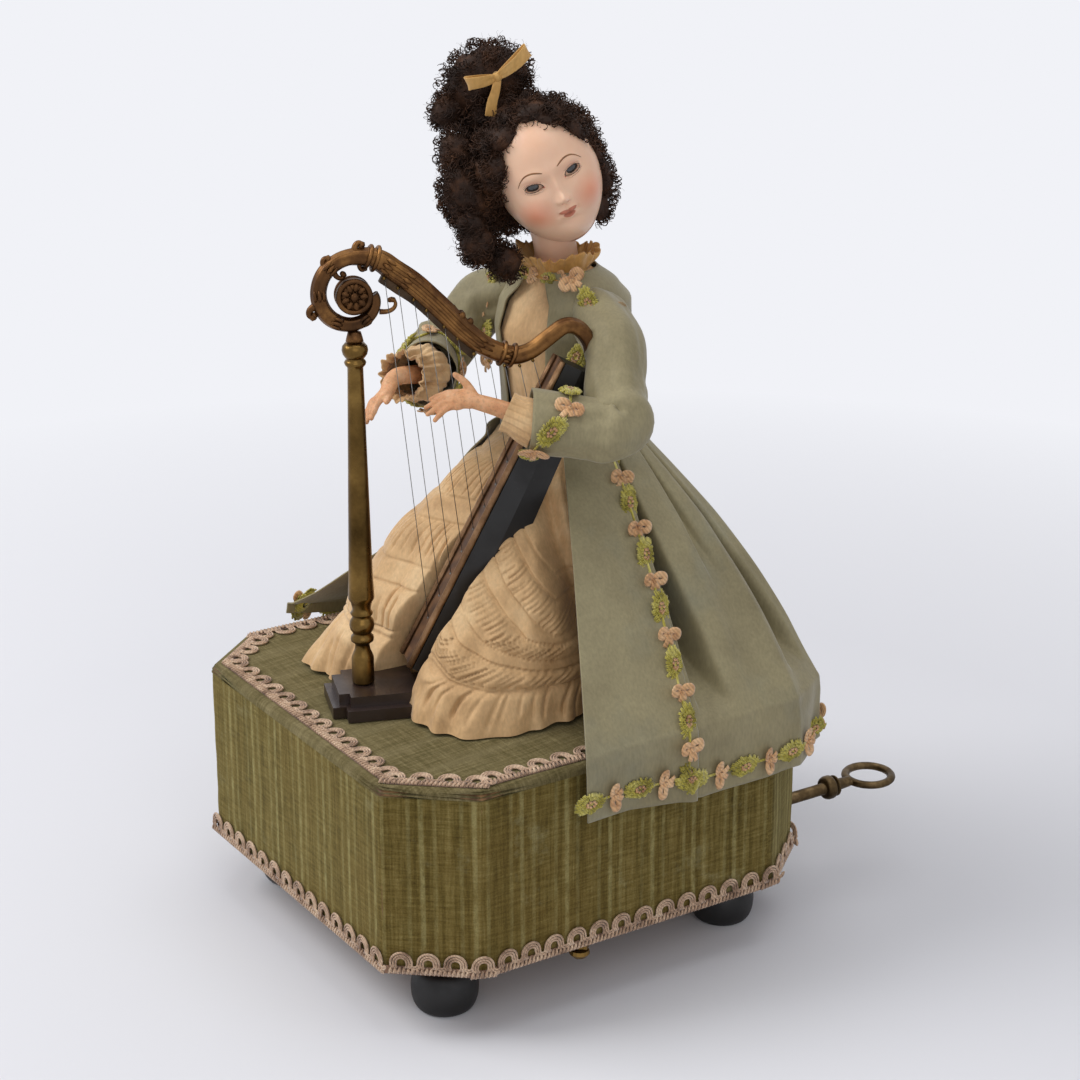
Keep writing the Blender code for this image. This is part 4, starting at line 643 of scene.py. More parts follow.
def make_column(paint):
    profile = [(0.05, 0.4), (5.8, 0.4), (6, 1.2), (5.9, 14.5), (5.2, 16.6), (4.2, 19), (3.8, 21.6), (4.6, 23), (6, 24),
               (6.2, 25.2), (6, 26.5), (4.7, 27.8), (5.2, 29), (6.3, 30.8), (6.7, 33), (6.3, 35.2), (5.2, 37),
               (4.8, 38), (5.8, 39), (6, 39.8), (4.9, 41.2), (5, 43), (5.7, 46), (6.9, 48), (7, 49.4), (6.4, 60),
               (4.1, 171.5), (4.1, 174.4), (5.3, 175.8), (5.7, 177), (5.2, 178), (4.2, 178.9), (5.1, 179.6),
               (6.3, 181.4), (6.8, 183.5), (6.4, 185.6), (5, 187.2), (3, 187.7), (0.05, 187.7)]
    sides = 44
    rows = [[harp(r * math.sin(math.tau * k / sides), w, r * math.cos(math.tau * k / sides)) for k in range(sides)]
            for r, w in profile]
    faces = grid_faces(len(rows), sides, True)
    faces += [tuple(range(sides)), tuple(reversed([(len(rows) - 1) * sides + k for k in range(sides)]))]
    column = build("harp_column_turned", [p for row in rows for p in row], faces, "base", paint)
    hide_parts("harp_column")


def neck_line():
    """The middle of the carved band and its half height and half width, from the rosette to the shoulder."""
    line = []
    for i in range(46):
        share = i / 45
        angle = -math.tau * 0.75 * share
        reach = 10 + 10 * share ** 0.65
        swell = 0.62 + 0.38 * min(1.0, share * 2)
        line.append((reach * math.cos(angle), 212 + reach * math.sin(angle), 4.1 * swell, 3.9 * swell))
    key = [(0, 232, 4.3, 4.0), (8, 231.6, 4.7, 4.2), (14, 229.2, 5.4, 4.8), (20, 224.5, 5.7, 4.6), (31, 216, 5.9, 4.4),
           (44, 203.4, 5.8, 4.2), (56, 190.7, 5.6, 4.2), (68, 181, 5.2, 4.2), (82, 175.5, 4.8, 4.2),
           (92, 177.5, 4.5, 4.1), (102, 184.5, 4.4, 4.0), (110, 189.5, 4.3, 3.9), (117, 188, 4.1, 3.7),
           (122.5, 181, 3.8, 3.4), (124, 173.6, 3.4, 3.0)]
    points = spline([(u, w, h) for u, w, h, d in key], 5)
    wide = spline([(d, 0, 0) for u, w, h, d in key], 5)
    return line[:-1] + [(p.x, p.y, p.z, q.x) for p, q in zip(points, wide)]


def make_neck(paint, dark, brass):
    line = neck_line()
    sides = 24
    rows = []
    for i, (u, w, high, wide) in enumerate(line):
        before, after = line[max(i - 1, 0)], line[min(i + 1, len(line) - 1)]
        ahead = Vector((after[0] - before[0], after[1] - before[1])).normalized()
        across = Vector((-ahead.y, ahead.x))
        row = []
        carve = 0.5 + 0.5 * math.sin(i * 0.9)
        for k in range(sides):
            a = math.tau * k / sides
            ridge = 1 + 0.07 * math.cos(6 * a) + 0.02 * carve * math.cos(3 * a)
            squarer = 1 / max(abs(math.cos(a)), abs(math.sin(a))) ** 0.35
            y, n = high * ridge * squarer * math.cos(a), wide * ridge * squarer * math.sin(a)
            row.append(harp(u + across.x * y, w + across.y * y, n))
        rows.append(row)
    faces = grid_faces(len(rows), sides, True)
    faces += [tuple(range(sides)), tuple(reversed([(len(rows) - 1) * sides + k for k in range(sides)]))]
    neck = build("harp_neck_band", [p for row in rows for p in row], faces, "base", paint)
    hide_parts("harp_neck")
    soften(neck)
    cloud = Cloud()
    for side in (-1, 1):
        cloud.ball(harp(0, 212, side * 3.6), (2.4 * MM, 2.4 * MM, 2.4 * MM), rings=8, sides=14)
        for number in range(9):
            a = math.tau * number / 9
            turn = HARP_TURN.to_3x3() @ Matrix.Rotation(a, 3, "X")
            cloud.ball(harp(4.9 * math.cos(a), 212 + 4.9 * math.sin(a), side * 3.4),
                       (1.5 * MM, 2.7 * MM, 1.5 * MM), turn, 8, 10)
        ring = [harp(8.1 * math.cos(math.tau * k / 40), 212 + 8.1 * math.sin(math.tau * k / 40), side * 3.2)
                for k in range(40)]
        cloud.tube(ring, 1.5 * MM, 8, closed=True)
    hub = [[harp(r * math.cos(math.tau * k / 40), 212 + r * math.sin(math.tau * k / 40), n) for k in range(40)]
           for r, n in ((0.1, -3.3), (8.4, -3.3), (9.3, 0), (8.4, 3.3), (0.1, 3.3))]
    cloud.add([p for row in hub for p in row], grid_faces(5, 40, True))
    curls = ((-19.5, 207.5, 205, 3.5, 2.6, 1), (-13.5, 226.5, 128, 3.2, 2.4, -1), (1.2, 235.2, 88, 2.8, 2.3, -1),
             (-9.5, 224, -62, 3.0, 2.0, 1), (3.5, 228.2, -96, 2.3, 1.8, 1), (-12.2, 201, 25, 3.2, 2.2, -1),
             (13.2, 202.8, -8, 5.5, 1.8, 1))
    for u, w, angle, length, radius, bend in curls:
        heading = math.radians(angle)
        path, radii = [], []
        at = Vector((u, w))
        for k in range(15):
            path.append(harp(at.x, at.y))
            radii.append((2.1 - 1.0 * (k / 14) + (0.9 if k > 11 else 0)) * radius / 2.6 * MM)
            heading += bend * math.radians(2 + 34 * (k / 14) ** 1.5)
            at += Vector((math.cos(heading), math.sin(heading))) * length * 0.19
        cloud.tube(path, radii, 10)
        cloud.ball(path[-1], (radius * 0.72 * MM,) * 3, rings=7, sides=12)
    for u, w, n in ((51.5, 202.5, 0), (60.5, 195.0, 0), (56, 199.0, 1.8), (56, 199.0, -1.8)):
        for k in range(3):
            a = math.radians(128 + 26 * (k - 1))
            cloud.ball(harp(u + 2.0 * math.cos(a), w + 2.0 * math.sin(a) - 2.2, n), (1.7 * MM, 1.9 * MM, 2.2 * MM))
    for side in (-1, 1):
        for share in (-0.52, 0.0, 0.52):
            path = []
            for i in range(58, 82):
                u, w, high, wide = line[i]
                ahead = Vector((line[i + 1][0] - line[i - 1][0], line[i + 1][1] - line[i - 1][1])).normalized()
                path.append(harp(u - ahead.y * share * high, w + ahead.x * share * high, side * (wide + 0.1 - 1.3 * abs(share))))
            cloud.tube(path, [(0.3 + 0.75 * math.sin(math.pi * (k + 1) / 25) ** 0.5) * MM for k in range(24)], 7)
        for i, lean in ((57, 1), (63, 1), (79, -1), (84, -1), (10, 1), (20, 1), (30, 1), (38, 1)):
            u, w, high, wide = line[i]
            ahead = Vector((line[i + 1][0] - line[i - 1][0], line[i + 1][1] - line[i - 1][1])).normalized()
            for share in (-0.55, 0, 0.55):
                root = (u - ahead.y * share * high, w + ahead.x * share * high)
                leaf = [harp(root[0] + ahead.x * lean * s, root[1] + ahead.y * lean * s, side * (wide + 0.5 - 1.2 * abs(share)))
                        for s in (-1.5, 0.5, 2.6, 4.4)]
                cloud.tube(leaf, [0.5 * MM, 1.25 * MM, 1.0 * MM, 0.3 * MM], 8)
    collar = [line[47 + k] for k in (3, 6, 36, 38)]
    for u, w, high, wide in collar:
        ring = []
        for k in range(28):
            a = math.tau * k / 28
            y = (high + 1.0) * math.cos(a)
            ring.append(harp(u + 0.35 * y, w + 0.93 * y, (wide + 1.0) * math.sin(a)))
        cloud.tube(ring, 1.1 * MM, 8, closed=True)
    seat = [[harp(r * math.cos(math.tau * k / 24), w, r * math.sin(math.tau * k / 24)) for k in range(24)]
            for r, w in ((0.1, 188.2), (4.6, 188.2), (4.2, 190), (3.4, 193), (0.1, 194))]
    cloud.add([p for row in seat for p in row], grid_faces(5, 24, True))
    carving = cloud.piece("harp_neck_carving", "base", paint, "gilt")
    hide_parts("harp_neck")
    cloud = Cloud()
    lower = spline([(14.5, 221.6, 0), (23, 215.2, 0), (32, 208.6, 0), (45, 195.6, 0), (56, 184, 0), (62, 178.6, 0)], 4)
    rows = []
    for p in lower:
        rows.append([harp(p.x - 1.6, p.y - 3.2, n) for n in (-1.6, 1.6)] + [harp(p.x + 1.8, p.y + 3.0, n)
                                                                          for n in (1.6, -1.6)])
    faces = grid_faces(len(rows), 4, True) + [(3, 2, 1, 0), tuple(len(rows) * 4 - 4 + k for k in range(4))]
    cloud.add([p for row in rows for p in row], faces)
    plate = cloud.piece("harp_pin_plate", "base", dark, "gilt", smooth=False)
    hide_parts("harp_neck")
    pins = Cloud()
    spots = ((15.5, 220.5), (22.5, 215), (30.5, 208.5), (37, 202.6), (46, 193.4), (53, 186.6), (61, 178.6), (69, 174.4),
             (77, 171.4), (85, 170.8), (92, 173.2))
    for u, w in spots:
        for n in (-1, 1):
            side = 1.9 if u < 60 else 3.9
            pins.ball(harp(u, w, n * side), (0.95 * MM, 0.95 * MM, 0.95 * MM), rings=6, sides=10)
    pins.piece("harp_pins", "base", brass, "brass")
    return spots


def along_board(share, lift=0.0, n=0.0):
    top, foot = Vector((114, 184)), Vector((24, 10))
    line = top - foot
    across = Vector((line.y, -line.x)).normalized()
    spot = foot + line * share - across * lift
    return harp(spot.x, spot.y, n), spot


def make_board(wood, rail, wire, spots):
    cloud = Cloud()
    rows = []
    for k in range(25):
        share = 0.93 * k / 24
        half = 9.6 - 2.2 * k / 24
        rows.append([along_board(share, lift, n * half)[0] for n, lift in ((-1, -0.6), (1, -0.6), (1, 0.5), (-1, 0.5))])
    cloud.add([p for row in rows for p in row], grid_faces(25, 4, True) + [(3, 2, 1, 0), (96, 97, 98, 99)])
    board = cloud.piece("harp_soundboard_face", "base", wood, "gilt", smooth=False)
    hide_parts("harp_soundboard")
    rails = Cloud()
    for side in (-1, 1):
        path = [along_board(0.93 * k / 12, 1.0, side * (10.3 - 2.9 * k / 12))[0] for k in range(13)]
        rails.tube(path, 1.75 * MM, 12, up=HARP_TURN.to_3x3() @ Vector((1, 0, 0)))
        path = [along_board(0.93 * k / 12, 1.6, side * (8.2 - 2.5 * k / 12))[0] for k in range(13)]
        rails.tube(path, 0.6 * MM, 8)
    made = rails.piece("harp_soundboard_rails", "base", rail, "gilt")
    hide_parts("harp_soundboard")
    strings = Cloud()
    for number, (u, w) in enumerate(spots):
        share = 0.1 + 0.76 * (number + 0.5) / len(spots)
        foot, flat = along_board(share, 0.4)
        top = harp(u + 0.3, w, 1.9 if u < 60 else 3.9)
        low = foot
        strings.tube([top, top.lerp(low, 0.5) + Vector((0.0003, 0, 0)), low], 0.2 * MM, 5)
        strings.ball(foot, (0.8 * MM, 0.8 * MM, 0.8 * MM), rings=5, sides=8)
    made = strings.piece("harp_strings", "base", wire, "brass")
    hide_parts("harp_soundboard")


def ease_edges(name, width, segments=3, angle=30):
    """Rounds the edges that the light catches, without touching the piece's mesh."""
    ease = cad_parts[name].modifiers.new("ease", "BEVEL")
    ease.width = width * MM
    ease.segments = segments
    ease.limit_method = "ANGLE"
    ease.angle_limit = math.radians(angle)
# Hands and hidden finishes

def paper_pulp():
    """Pressed paper pulp: buff, matt and a little lumpy."""
    paint = Paint("paper_pulp", roughness=0.9, specular=0.2)
    paint.colour(paint.ramp(paint.noise(70, 5, rough=0.7), (0.3, srgb(150, 124, 92)), (0.7, srgb(196, 172, 136))))
    paint.bump(paint.noise(220, 4), 0.4, 0.0008)
    return paint.material


def tinted_hand():
    """Painted composition: an orange flesh tone that varies at random, with fine darker specks."""
    paint = Paint("hand_colour", roughness=0.5, coat=0.05, specular=0.35)
    paint.set(**{"Subsurface Weight": 0.1, "Subsurface Scale": 0.002})
    tone = paint.ramp(paint.noise(95, 5, rough=0.65), (0.3, srgb(196, 134, 88)), (0.52, srgb(220, 164, 118)),
                      (0.72, srgb(234, 188, 148)))
    speck = paint.ramp(paint.noise(700, 2), (0.32, 0.82), (0.5, 1.0))
    paint.colour(paint.mix(1.0, tone, speck, "MULTIPLY"))
    paint.bump(paint.noise(420, 3), 0.15, 0.0003)
    return paint.material


def make_hand(side, sleeve_end, wrist, palm, fingers, thumb, paint):
    """A slender open hand: wrist, palm and jointed fingers are fused into one smooth form."""
    wrist, palm = Vector(wrist), Vector(palm)
    made = Cloud()
    middle = Vector((0, 0, 0))
    for near, tip in fingers:
        middle += Vector(near) / len(fingers)
    aim = (middle - wrist).normalized()
    across = (Vector(fingers[-1][0]) - Vector(fingers[0][0])).normalized()
    across = (across - aim * across.dot(aim)).normalized()
    turn = Matrix((aim, across, aim.cross(across))).transposed()
    arm = spline([sleeve_end, wrist, palm], 6)
    made.tube([p * MM + SHIFT for p in arm], [(5.5 - 1.6 * i / (len(arm) - 1)) * MM
                                              for i in range(len(arm))], 12)
    made.ball(palm * MM + SHIFT, (8.2 * MM, 5.6 * MM, 3.5 * MM), turn, 10, 16)
    made.ball(palm.lerp(middle, 0.45) * MM + SHIFT, (6.0 * MM, 6.2 * MM, 2.8 * MM), turn, 10, 16)
    for number, (near, tip) in enumerate(fingers):
        near, tip = Vector(near), Vector(tip)
        knuckle = palm.lerp(middle, 0.4) + across * (2.7 * number - 4.1)
        bone = spline([knuckle, near, near.lerp(tip, 0.55) + (near - knuckle).normalized() * 0.6, tip], 5)
        last = len(bone) - 1
        made.tube([p * MM + SHIFT for p in bone],
                  [(2.15 - 0.85 * i / last + 0.12 * math.cos(math.tau * i / 5)) * MM for i in range(last + 1)], 10)
        made.ball(tip * MM + SHIFT, (1.35 * MM,) * 3, rings=6, sides=10)
    root, tip = Vector(thumb[0]), Vector(thumb[1])
    bone = spline([palm.lerp(wrist, 0.35), root, tip], 6)
    last = len(bone) - 1
    made.tube([p * MM + SHIFT for p in bone], [(2.9 - 1.35 * i / last) * MM for i in range(last + 1)], 10)
    made.ball(tip * MM + SHIFT, (1.5 * MM,) * 3, rings=6, sides=10)
    hand = made.piece(f"{side}_hand_form", f"{side}_arm", paint, "hand_paint")
    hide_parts(f"{side}_hand")
    fuse = hand.modifiers.new("fuse", "REMESH")
    fuse.mode = "VOXEL"
    fuse.voxel_size = 0.55 * MM
    fuse.use_smooth_shade = True
    even = hand.modifiers.new("even", "SMOOTH")
    even.factor = 0.5
    even.iterations = 8
    return hand




# Cloth

TORSO = Vector((-11, 42, 0))
LEFT = Vector((math.cos(math.radians(12)), math.sin(math.radians(12)), 0))
FRONT = Vector((math.sin(math.radians(12)), -math.cos(math.radians(12)), 0))


def body(left, front, z):
    return (TORSO + LEFT * left + FRONT * front + Vector((0, 0, z))) * MM + SHIFT


def silk(name, dark, mid, pale, weave=900.0, shade=None, sheen=0.25, roughness=0.62):
    """Old silk: a fine weave, soft stains and a faded tone."""
    paint = Paint(name, roughness=roughness, sheen=sheen, specular=0.3)
    paint.set(**{"Sheen Roughness": 0.4})
    stain = paint.noise(22, 5, rough=0.62, distortion=0.4)
    base = paint.ramp(stain, (0.28, dark), (0.5, mid), (0.72, pale))
    if shade:
        patch = paint.ramp(paint.noise(13, 4, rough=0.7), (0.52, 0), (0.75, 1))
        base = paint.mix(paint.maths("MULTIPLY", patch, 0.5), base, shade)
    thread = paint.maths("MULTIPLY", paint.wave(weave, "X"), paint.wave(weave, "Z"))
    fine = paint.noise(700, 3, paint.stretched((1, 1, 0.35)))
    base = paint.mix(1.0, base, paint.ramp(fine, (0.3, 0.88), (0.7, 1.06)), "MULTIPLY")
    paint.colour(base)
    paint.bump(thread, 0.12, 0.0002)
    paint.bump(fine, 0.35, 0.0003)
    paint.bump(paint.noise(60, 3), 0.35, 0.0016)
    return paint.material


def cut_sheet(made):
    """Returns a cloth piece as it is."""
    return made


def between(table, value):
    """Values between the rows of a table whose first column falls or rises."""
    rising = table[-1][0] > table[0][0]
    rows = table if rising else table[::-1]
    if value <= rows[0][0]:
        return rows[0][1:]
    for a, b in zip(rows, rows[1:]):
        if value <= b[0]:
            t = (value - a[0]) / (b[0] - a[0])
            t = t * t * (3 - 2 * t) * 0.35 + t * 0.65
            return tuple(p + (q - p) * t for p, q in zip(a[1:], b[1:]))
    return rows[-1][1:]


SKIRT_ANGLES = (-180, -120, -90, -60, -45, -34, -25, -14, 0, 14, 18, 27, 36, 46, 60, 90, 120, 180)
SKIRT_REACH = ((270, (43, 38, 34, 30, 28, 26, 24, 22, 20, 21, 22, 23, 25, 27, 30, 34, 38, 43)),
               (255, (43, 40, 39, 42, 46, 49, 48, 42, 36, 38, 40, 44, 46, 45, 43, 39, 40, 43)),
               (235, (42, 42, 46, 56, 66, 73, 73, 66, 60, 66, 68, 71, 69, 63, 55, 46, 42, 42)),
               (210, (42, 46, 56, 72, 88, 96, 97, 88, 84, 92, 94, 93, 88, 80, 67, 56, 46, 42)),
               (185, (42, 48, 64, 86, 103, 113, 114, 105, 101, 111, 113, 109, 102, 92, 77, 64, 48, 42)),
               (163, (42, 50, 70, 97, 116, 124, 124, 114, 110, 122, 125, 121, 112, 100, 84, 70, 50, 42)),
               (147, (42, 52, 76, 104, 126, 135, 128, 118, 114, 127, 130, 126, 116, 103, 88, 76, 52, 42)),
               (141, (42, 53, 78, 106, 129, 139, 130, 119, 114, 129, 132, 128, 118, 105, 90, 78, 53, 42)))
# The hollow that holds the soundbox: height, the box's angle and how far forward its face stands
SKIRT_VALLEY = ((270, 22.8, 61.6), (250, 16, 70.5), (228, 10, 80), (203, 4.7, 91), (163, -1.8, 108.6), (140, -5, 119))
TIERS = (269, 240, 208, 175, 141.4)


def skirt_spot(z, around, lift=0.0):
    degrees = (math.degrees(around) + 180) % 360 - 180
    for (z0, high), (z1, low) in zip(SKIRT_REACH, SKIRT_REACH[1:]):
        if z >= z1:
            break
    down = min(1.0, max(0.0, (z0 - z) / (z0 - z1)))
    index = max(i for i in range(len(SKIRT_ANGLES) - 1) if SKIRT_ANGLES[i] <= degrees)
    a0, a1 = SKIRT_ANGLES[index], SKIRT_ANGLES[index + 1]
    t = (degrees - a0) / (a1 - a0)
    t = t * t * (3 - 2 * t) * 0.5 + t * 0.5
    reach = (high[index] * (1 - t) + high[index + 1] * t) * (1 - down) + (low[index] * (1 - t) + low[index + 1] * t) * down
    valley_at, face = between(SKIRT_VALLEY, z)
    half = math.degrees(13.5 / (face - 10))
    inside = math.exp(-(abs(degrees - valley_at) / half) ** 14)
    crease = math.exp(-((degrees - 39 - 0.27 * (250 - z)) / 6) ** 2) * min(1, max(0, (262 - z) / 22)) * min(
        1, max(0, (z - 168) / 20))
    reach += lift - 13 * crease
    reach = reach * (1 - inside) + min(reach, face - 31) * inside
    return body(reach * math.sin(around), reach * math.cos(around), z)


def tier_lean(z):
    """How far, in millimetres a degree, the tiers run aslant over her left knee at a height."""
    return 1.25 * min(1.0, max(0.0, (z - 160) / 26)) + 0.45 * min(1.0, max(0.0, (z - 145) / 22))


def smooth_step(low, high, value):
    t = min(1.0, max(0.0, (value - low) / (high - low)))
    return t * t * (3 - 2 * t)


def gathers(count, tier, place, inside):
    """Narrow grooves where cloth is drawn together: each has its own strength and length."""
    cell = math.floor(place * count)
    part = place * count - cell
    depth = 0.0
    for other in (-1, 0, 1):
        dice = noise.noise_vector(Vector((cell + other + 0.37, tier * 9.1 + 0.6, 3.3)))
        at = 0.5 + 0.5 * dice.x + other
        reach = 0.45 + 0.9 * abs(dice.y)
        fade = smooth_step(reach + 0.25, reach, inside) if dice.z > -0.1 else smooth_step(0.75 - reach, 1 - reach, inside)
        depth = max(depth, (0.35 + 1.3 * abs(dice.z)) * fade * math.exp(-((part - at) / 0.16) ** 2))
    return depth


def make_skirt(paint):
    """A silk skirt in tiers: each hangs from a plain band, drawn into fine gathers, and a flared frill ends it."""
    front, behind, rows = 760, 110, 165
    angles = [math.radians(-62 + 124 * c / front) for c in range(front)]
    angles += [math.radians(62 + 236 * c / behind) for c in range(behind)]
    columns = len(angles)
    verts = []
    for r in range(rows):
        z = 269.5 + (141.4 - 269.5) * r / (rows - 1)
        for a in angles:
            degrees = (math.degrees(a) + 180) % 360 - 180
            slope = tier_lean(z) * smooth_step(8, 14, degrees)
            height = z + slope * min(34.0, max(0.0, degrees - 11))
            tier = 0
            while tier < len(TIERS) - 2 and height < TIERS[tier + 1]:
                tier += 1
            top, low = TIERS[tier], TIERS[tier + 1]
            inside = min(1.0, max(0.0, (top - height) / (top - low)))
            last = tier == len(TIERS) - 2
            band = 0.12 if last else 0.36
            below = (inside - band) / (1 - band)
            place_at = a / math.tau + 1 - slope * (z - 150) / 100 * 0.145
            place_at += 0.004 * noise.noise(Vector((a * 5, z * 0.05, tier)))
            groove = gathers(118 if not last else 96, tier, place_at, max(0.0, below)) * smooth_step(-0.04, 0.1, below)
            if last:
                flute = 1.5 * smooth_step(0.1, 1, below) * math.sin(a * 46 + 2.5 * noise.noise(Vector((a * 4, 2, 0))))
                puff = 1.5 * smooth_step(0.0, 0.25, below) + 2.2 * max(0.0, below) + flute
                groove *= 2.4
            else:
                puff = 3.0 * math.sin(math.pi * min(1.0, max(0.0, below)) ** 0.7) + 0.5 * (below < 0)
                groove *= smooth_step(1.0, 0.9, below) * 2.1
            seam = 1.5 * math.exp(-((height - top) / 0.9) ** 2) + 1.4 * math.exp(-(below / 0.045) ** 2)
            low_noise = noise.noise(Vector((math.cos(a) * 3.1, math.sin(a) * 3.1, z * 0.02 + 5)))
            lift = puff - groove - seam + 2.6 * low_noise + 0.7 * noise.noise(Vector((a * 13, z * 0.11, 7 + tier)))
            edge = 0.7 * math.sin(a * 9) * inside if last else 0.0
            verts.append(skirt_spot(z + edge, a, lift))
    made = build("skirt_tiers", verts, grid_faces(rows, columns, True), "base", paint)
    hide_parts("skirt")
    cut_sheet(made)
    return made


# Coat

COAT_HEM = ((133.5, -31, 112), (132.5, -8, 112), (132.5, 16, 109), (132.5, 40, 106), (132.5, 72, 107),
            (132, 104, 108), (112, 133, 110), (78, 139, 112), (40, 141, 112), (0, 141, 112), (-42, 141, 113),
            (-84, 138, 114), (-116, 128, 116), (-132, 100, 119), (-133, 60, 123), (-133, 20, 129),
            (-133, -22, 135), (-132, -64, 143))
COAT_FALL = ((0, 0.0, 270), (1, 0.16, 252), (2, 0.36, 228), (3, 0.56, 202), (4, 0.76, 176), (5, 0.9, 158),
             (6, 0.985, 146.5), (7, 1.0, 138), (8, 1.0, 0))
# Folds: where each starts and how it drifts round the hem, its half width, its depth and its span down the coat
FOLDS = ((0.170, 0.026, 0.0135, 60.0, 0.03, 0.965), (0.262, 0.004, 0.009, 6.0, 0.0, 0.62),
         (0.312, 0.012, 0.0105, 46.0, 0.0, 0.93), (0.392, -0.004, 0.014, 20.0, 0.02, 0.9),
         (0.452, 0.0, 0.012, 13.0, 0.0, 0.93), (0.515, 0.004, 0.014, 24.0, 0.0, 0.9), (0.578, 0.0, 0.011, 12.0, 0.05, 0.94),
         (0.64, -0.005, 0.014, 22.0, 0.0, 0.9), (0.705, 0.0, 0.012, 13.0, 0.0, 0.93), (0.772, 0.0, 0.014, 21.0, 0.05, 0.92),
         (0.842, 0.0, 0.012, 12.0, 0.05, 0.93), (0.912, 0.0, 0.013, 16.0, 0.1, 0.93))


def coat_spot(share, fall, lift=0.0, folded=True):
    """A point on the coat: share runs round its hem and fall from 0 at the waist to 1 at the hem."""
    place_at = share * (len(COAT_HEM) - 1)
    index = min(int(place_at), len(COAT_HEM) - 2)
    part = place_at - index
    part = part * part * (3 - 2 * part) * 0.3 + part * 0.7
    hem = Vector(COAT_HEM[index]).lerp(Vector(COAT_HEM[index + 1]), part)
    around = math.radians(52 + 256 * share)
    side = 37.2 * math.sin(around)
    ahead = (37.2 if math.cos(around) > 0 else 45.2) * math.cos(around)
    waist = TORSO + LEFT * side + FRONT * ahead
    row = fall * 8
    index = min(int(row), 7)
    t = row - index
    f0, z0 = COAT_FALL[index][1:]
    f1, z1 = COAT_FALL[index + 1][1:]
    z0 = max(z0, hem.z + 6) if index < 8 else hem.z
    z1 = hem.z if index == 7 else max(z1, hem.z + 6)
    fraction = f0 + (f1 - f0) * t
    z = z0 + (z1 - z0) * t
    fraction += 0.05 * math.sin(math.pi * min(1, fraction)) * (1 if fraction < 1 else 0)
    if fraction < 1:
        fraction = fraction ** (1 + 0.9 * smooth_step(0.8, 0.97, share))
    spot = Vector((waist.x, waist.y, 0)).lerp(Vector((hem.x, hem.y, 0)), fraction)
    out = Vector((hem.x - waist.x, hem.y - waist.y, 0)).normalized()
    depth = swell = 0.0
    for (at, drift, width, amount, start, end), (after, *rest) in zip(FOLDS, FOLDS[1:] + ((1.0, 0),)):
        along = (fraction - start) / (end - start)
        if 0 < along < 1 and folded:
            spread = width * (0.45 + 1.1 * along ** 1.5)
            gap = abs(share - at - drift * fraction) / spread
            depth += amount * math.sin(math.pi * along ** 1.25) * smooth_step(1.2, 0.55, gap)
        lobe = (share - (at + after) / 2 - 0.012) / 0.028
        swell += 5.0 * math.sin(math.pi * min(1.0, fraction) ** 1.3) * math.exp(-lobe ** 2) * folded
    crumple = 1.6 * noise.noise(Vector((share * 34, fall * 4.2, 2.0))) * min(1, fraction * 2) * folded
    rough = 1.0 * noise.noise(Vector((spot.x * 0.03, spot.y * 0.03, z * 0.03))) * min(1, fraction * 2)
    edge = 0.6 if fraction >= 0.985 else 0.0
    spot += out * (swell - depth + rough + crumple + lift + edge + 0.4)
    if share > 0.8 and fraction < 0.9:
        offset = Vector((spot.x - TORSO.x, spot.y - TORSO.y, 0))
        under = skirt_spot(z, math.atan2(offset.dot(LEFT), offset.dot(FRONT)), 3.2 + lift)
        needed = (under - SHIFT) / MM - TORSO
        needed.z = 0
        if needed.length > offset.length:
            spot += offset.normalized() * (needed.length - offset.length) * smooth_step(0.8, 0.84, share)
    return Vector((spot.x, spot.y, z)) * MM + SHIFT


def make_coat(paint, lining, green, tan):
    columns, rows = 560, 110
    verts = []
    for r in range(rows):
        for c in range(columns):
            verts.append(coat_spot(0.02 + 0.98 * c / (columns - 1), r / (rows - 1)))
    made = build("coat_skirt", verts, grid_faces(rows, columns), "base", paint)
    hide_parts("coat")
    smooth_cloth(made, 3)
    cut_sheet(made)
    thicken(made, 0.9)
    columns, rows = 70, 90
    verts = []
    for r in range(rows):
        for c in range(columns):
            share = -0.004 + 0.164 * c / (columns - 1)
            point = panel_spot(share, r / (rows - 1))
            verts.append(point)
    panel = build("coat_front_panel", verts, grid_faces(rows, columns), "base", paint)
    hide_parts("coat")
    cut_sheet(panel)
    thicken(panel, 0.9)
    trim = Trim(green, tan)
    trim.run([panel_spot(0.151 - 0.004 * (k / 60), 0.03 + 0.91 * k / 60, 0.9) for k in range(61)],
             lambda p: (Vector((1, 0.1, 0.35))).normalized())
    trim.run([panel_spot(0.0 + 0.148 * k / 40, 0.945, 1.0) for k in range(41)],
             lambda p: Vector((1, 0, 0)))
    trim.run([coat_spot(0.16 + 0.84 * k / 260, 0.955, 1.2) for k in range(261)], hem_face)
    trim.run([coat_spot(0.985, 0.74 + 0.2 * k / 20, 1.2) for k in range(21)],
             lambda p: Vector((-1, -0.1, 0.35)).normalized())
    trim.finish("coat_trim", "base")
    return made


def panel_spot(share, fall, lift=0.0):
    """The plain left front panel: it hangs nearly flat, a little outside the folds behind it."""
    p = coat_spot(min(0.165, max(0.0, share)), fall, folded=False)
    row = min(1.0, fall / 0.75)
    across = share / 0.16
    ahead = Vector((0.55, -0.72, 0)) * MM
    p = p + Vector((1.6, 0, 0)) * MM * (0.5 + 0.5 * row)
    if share < 0.012:
        p = p + (coat_spot(0.0, fall, folded=False) - coat_spot(0.03, fall, folded=False)) * ((0.012 - share) / 0.06)
    flare = 5.0 * row * (1 - across) * (1 - across) * (1 if fall < 0.86 else max(0, (1 - fall) / 0.14))
    edge = 2.2 * math.exp(-((across - 0.96) / 0.07) ** 2) * min(1, fall * 3)
    return p + ahead * flare * 0.35 + Vector((1, 0, 0)) * (edge + lift) * MM


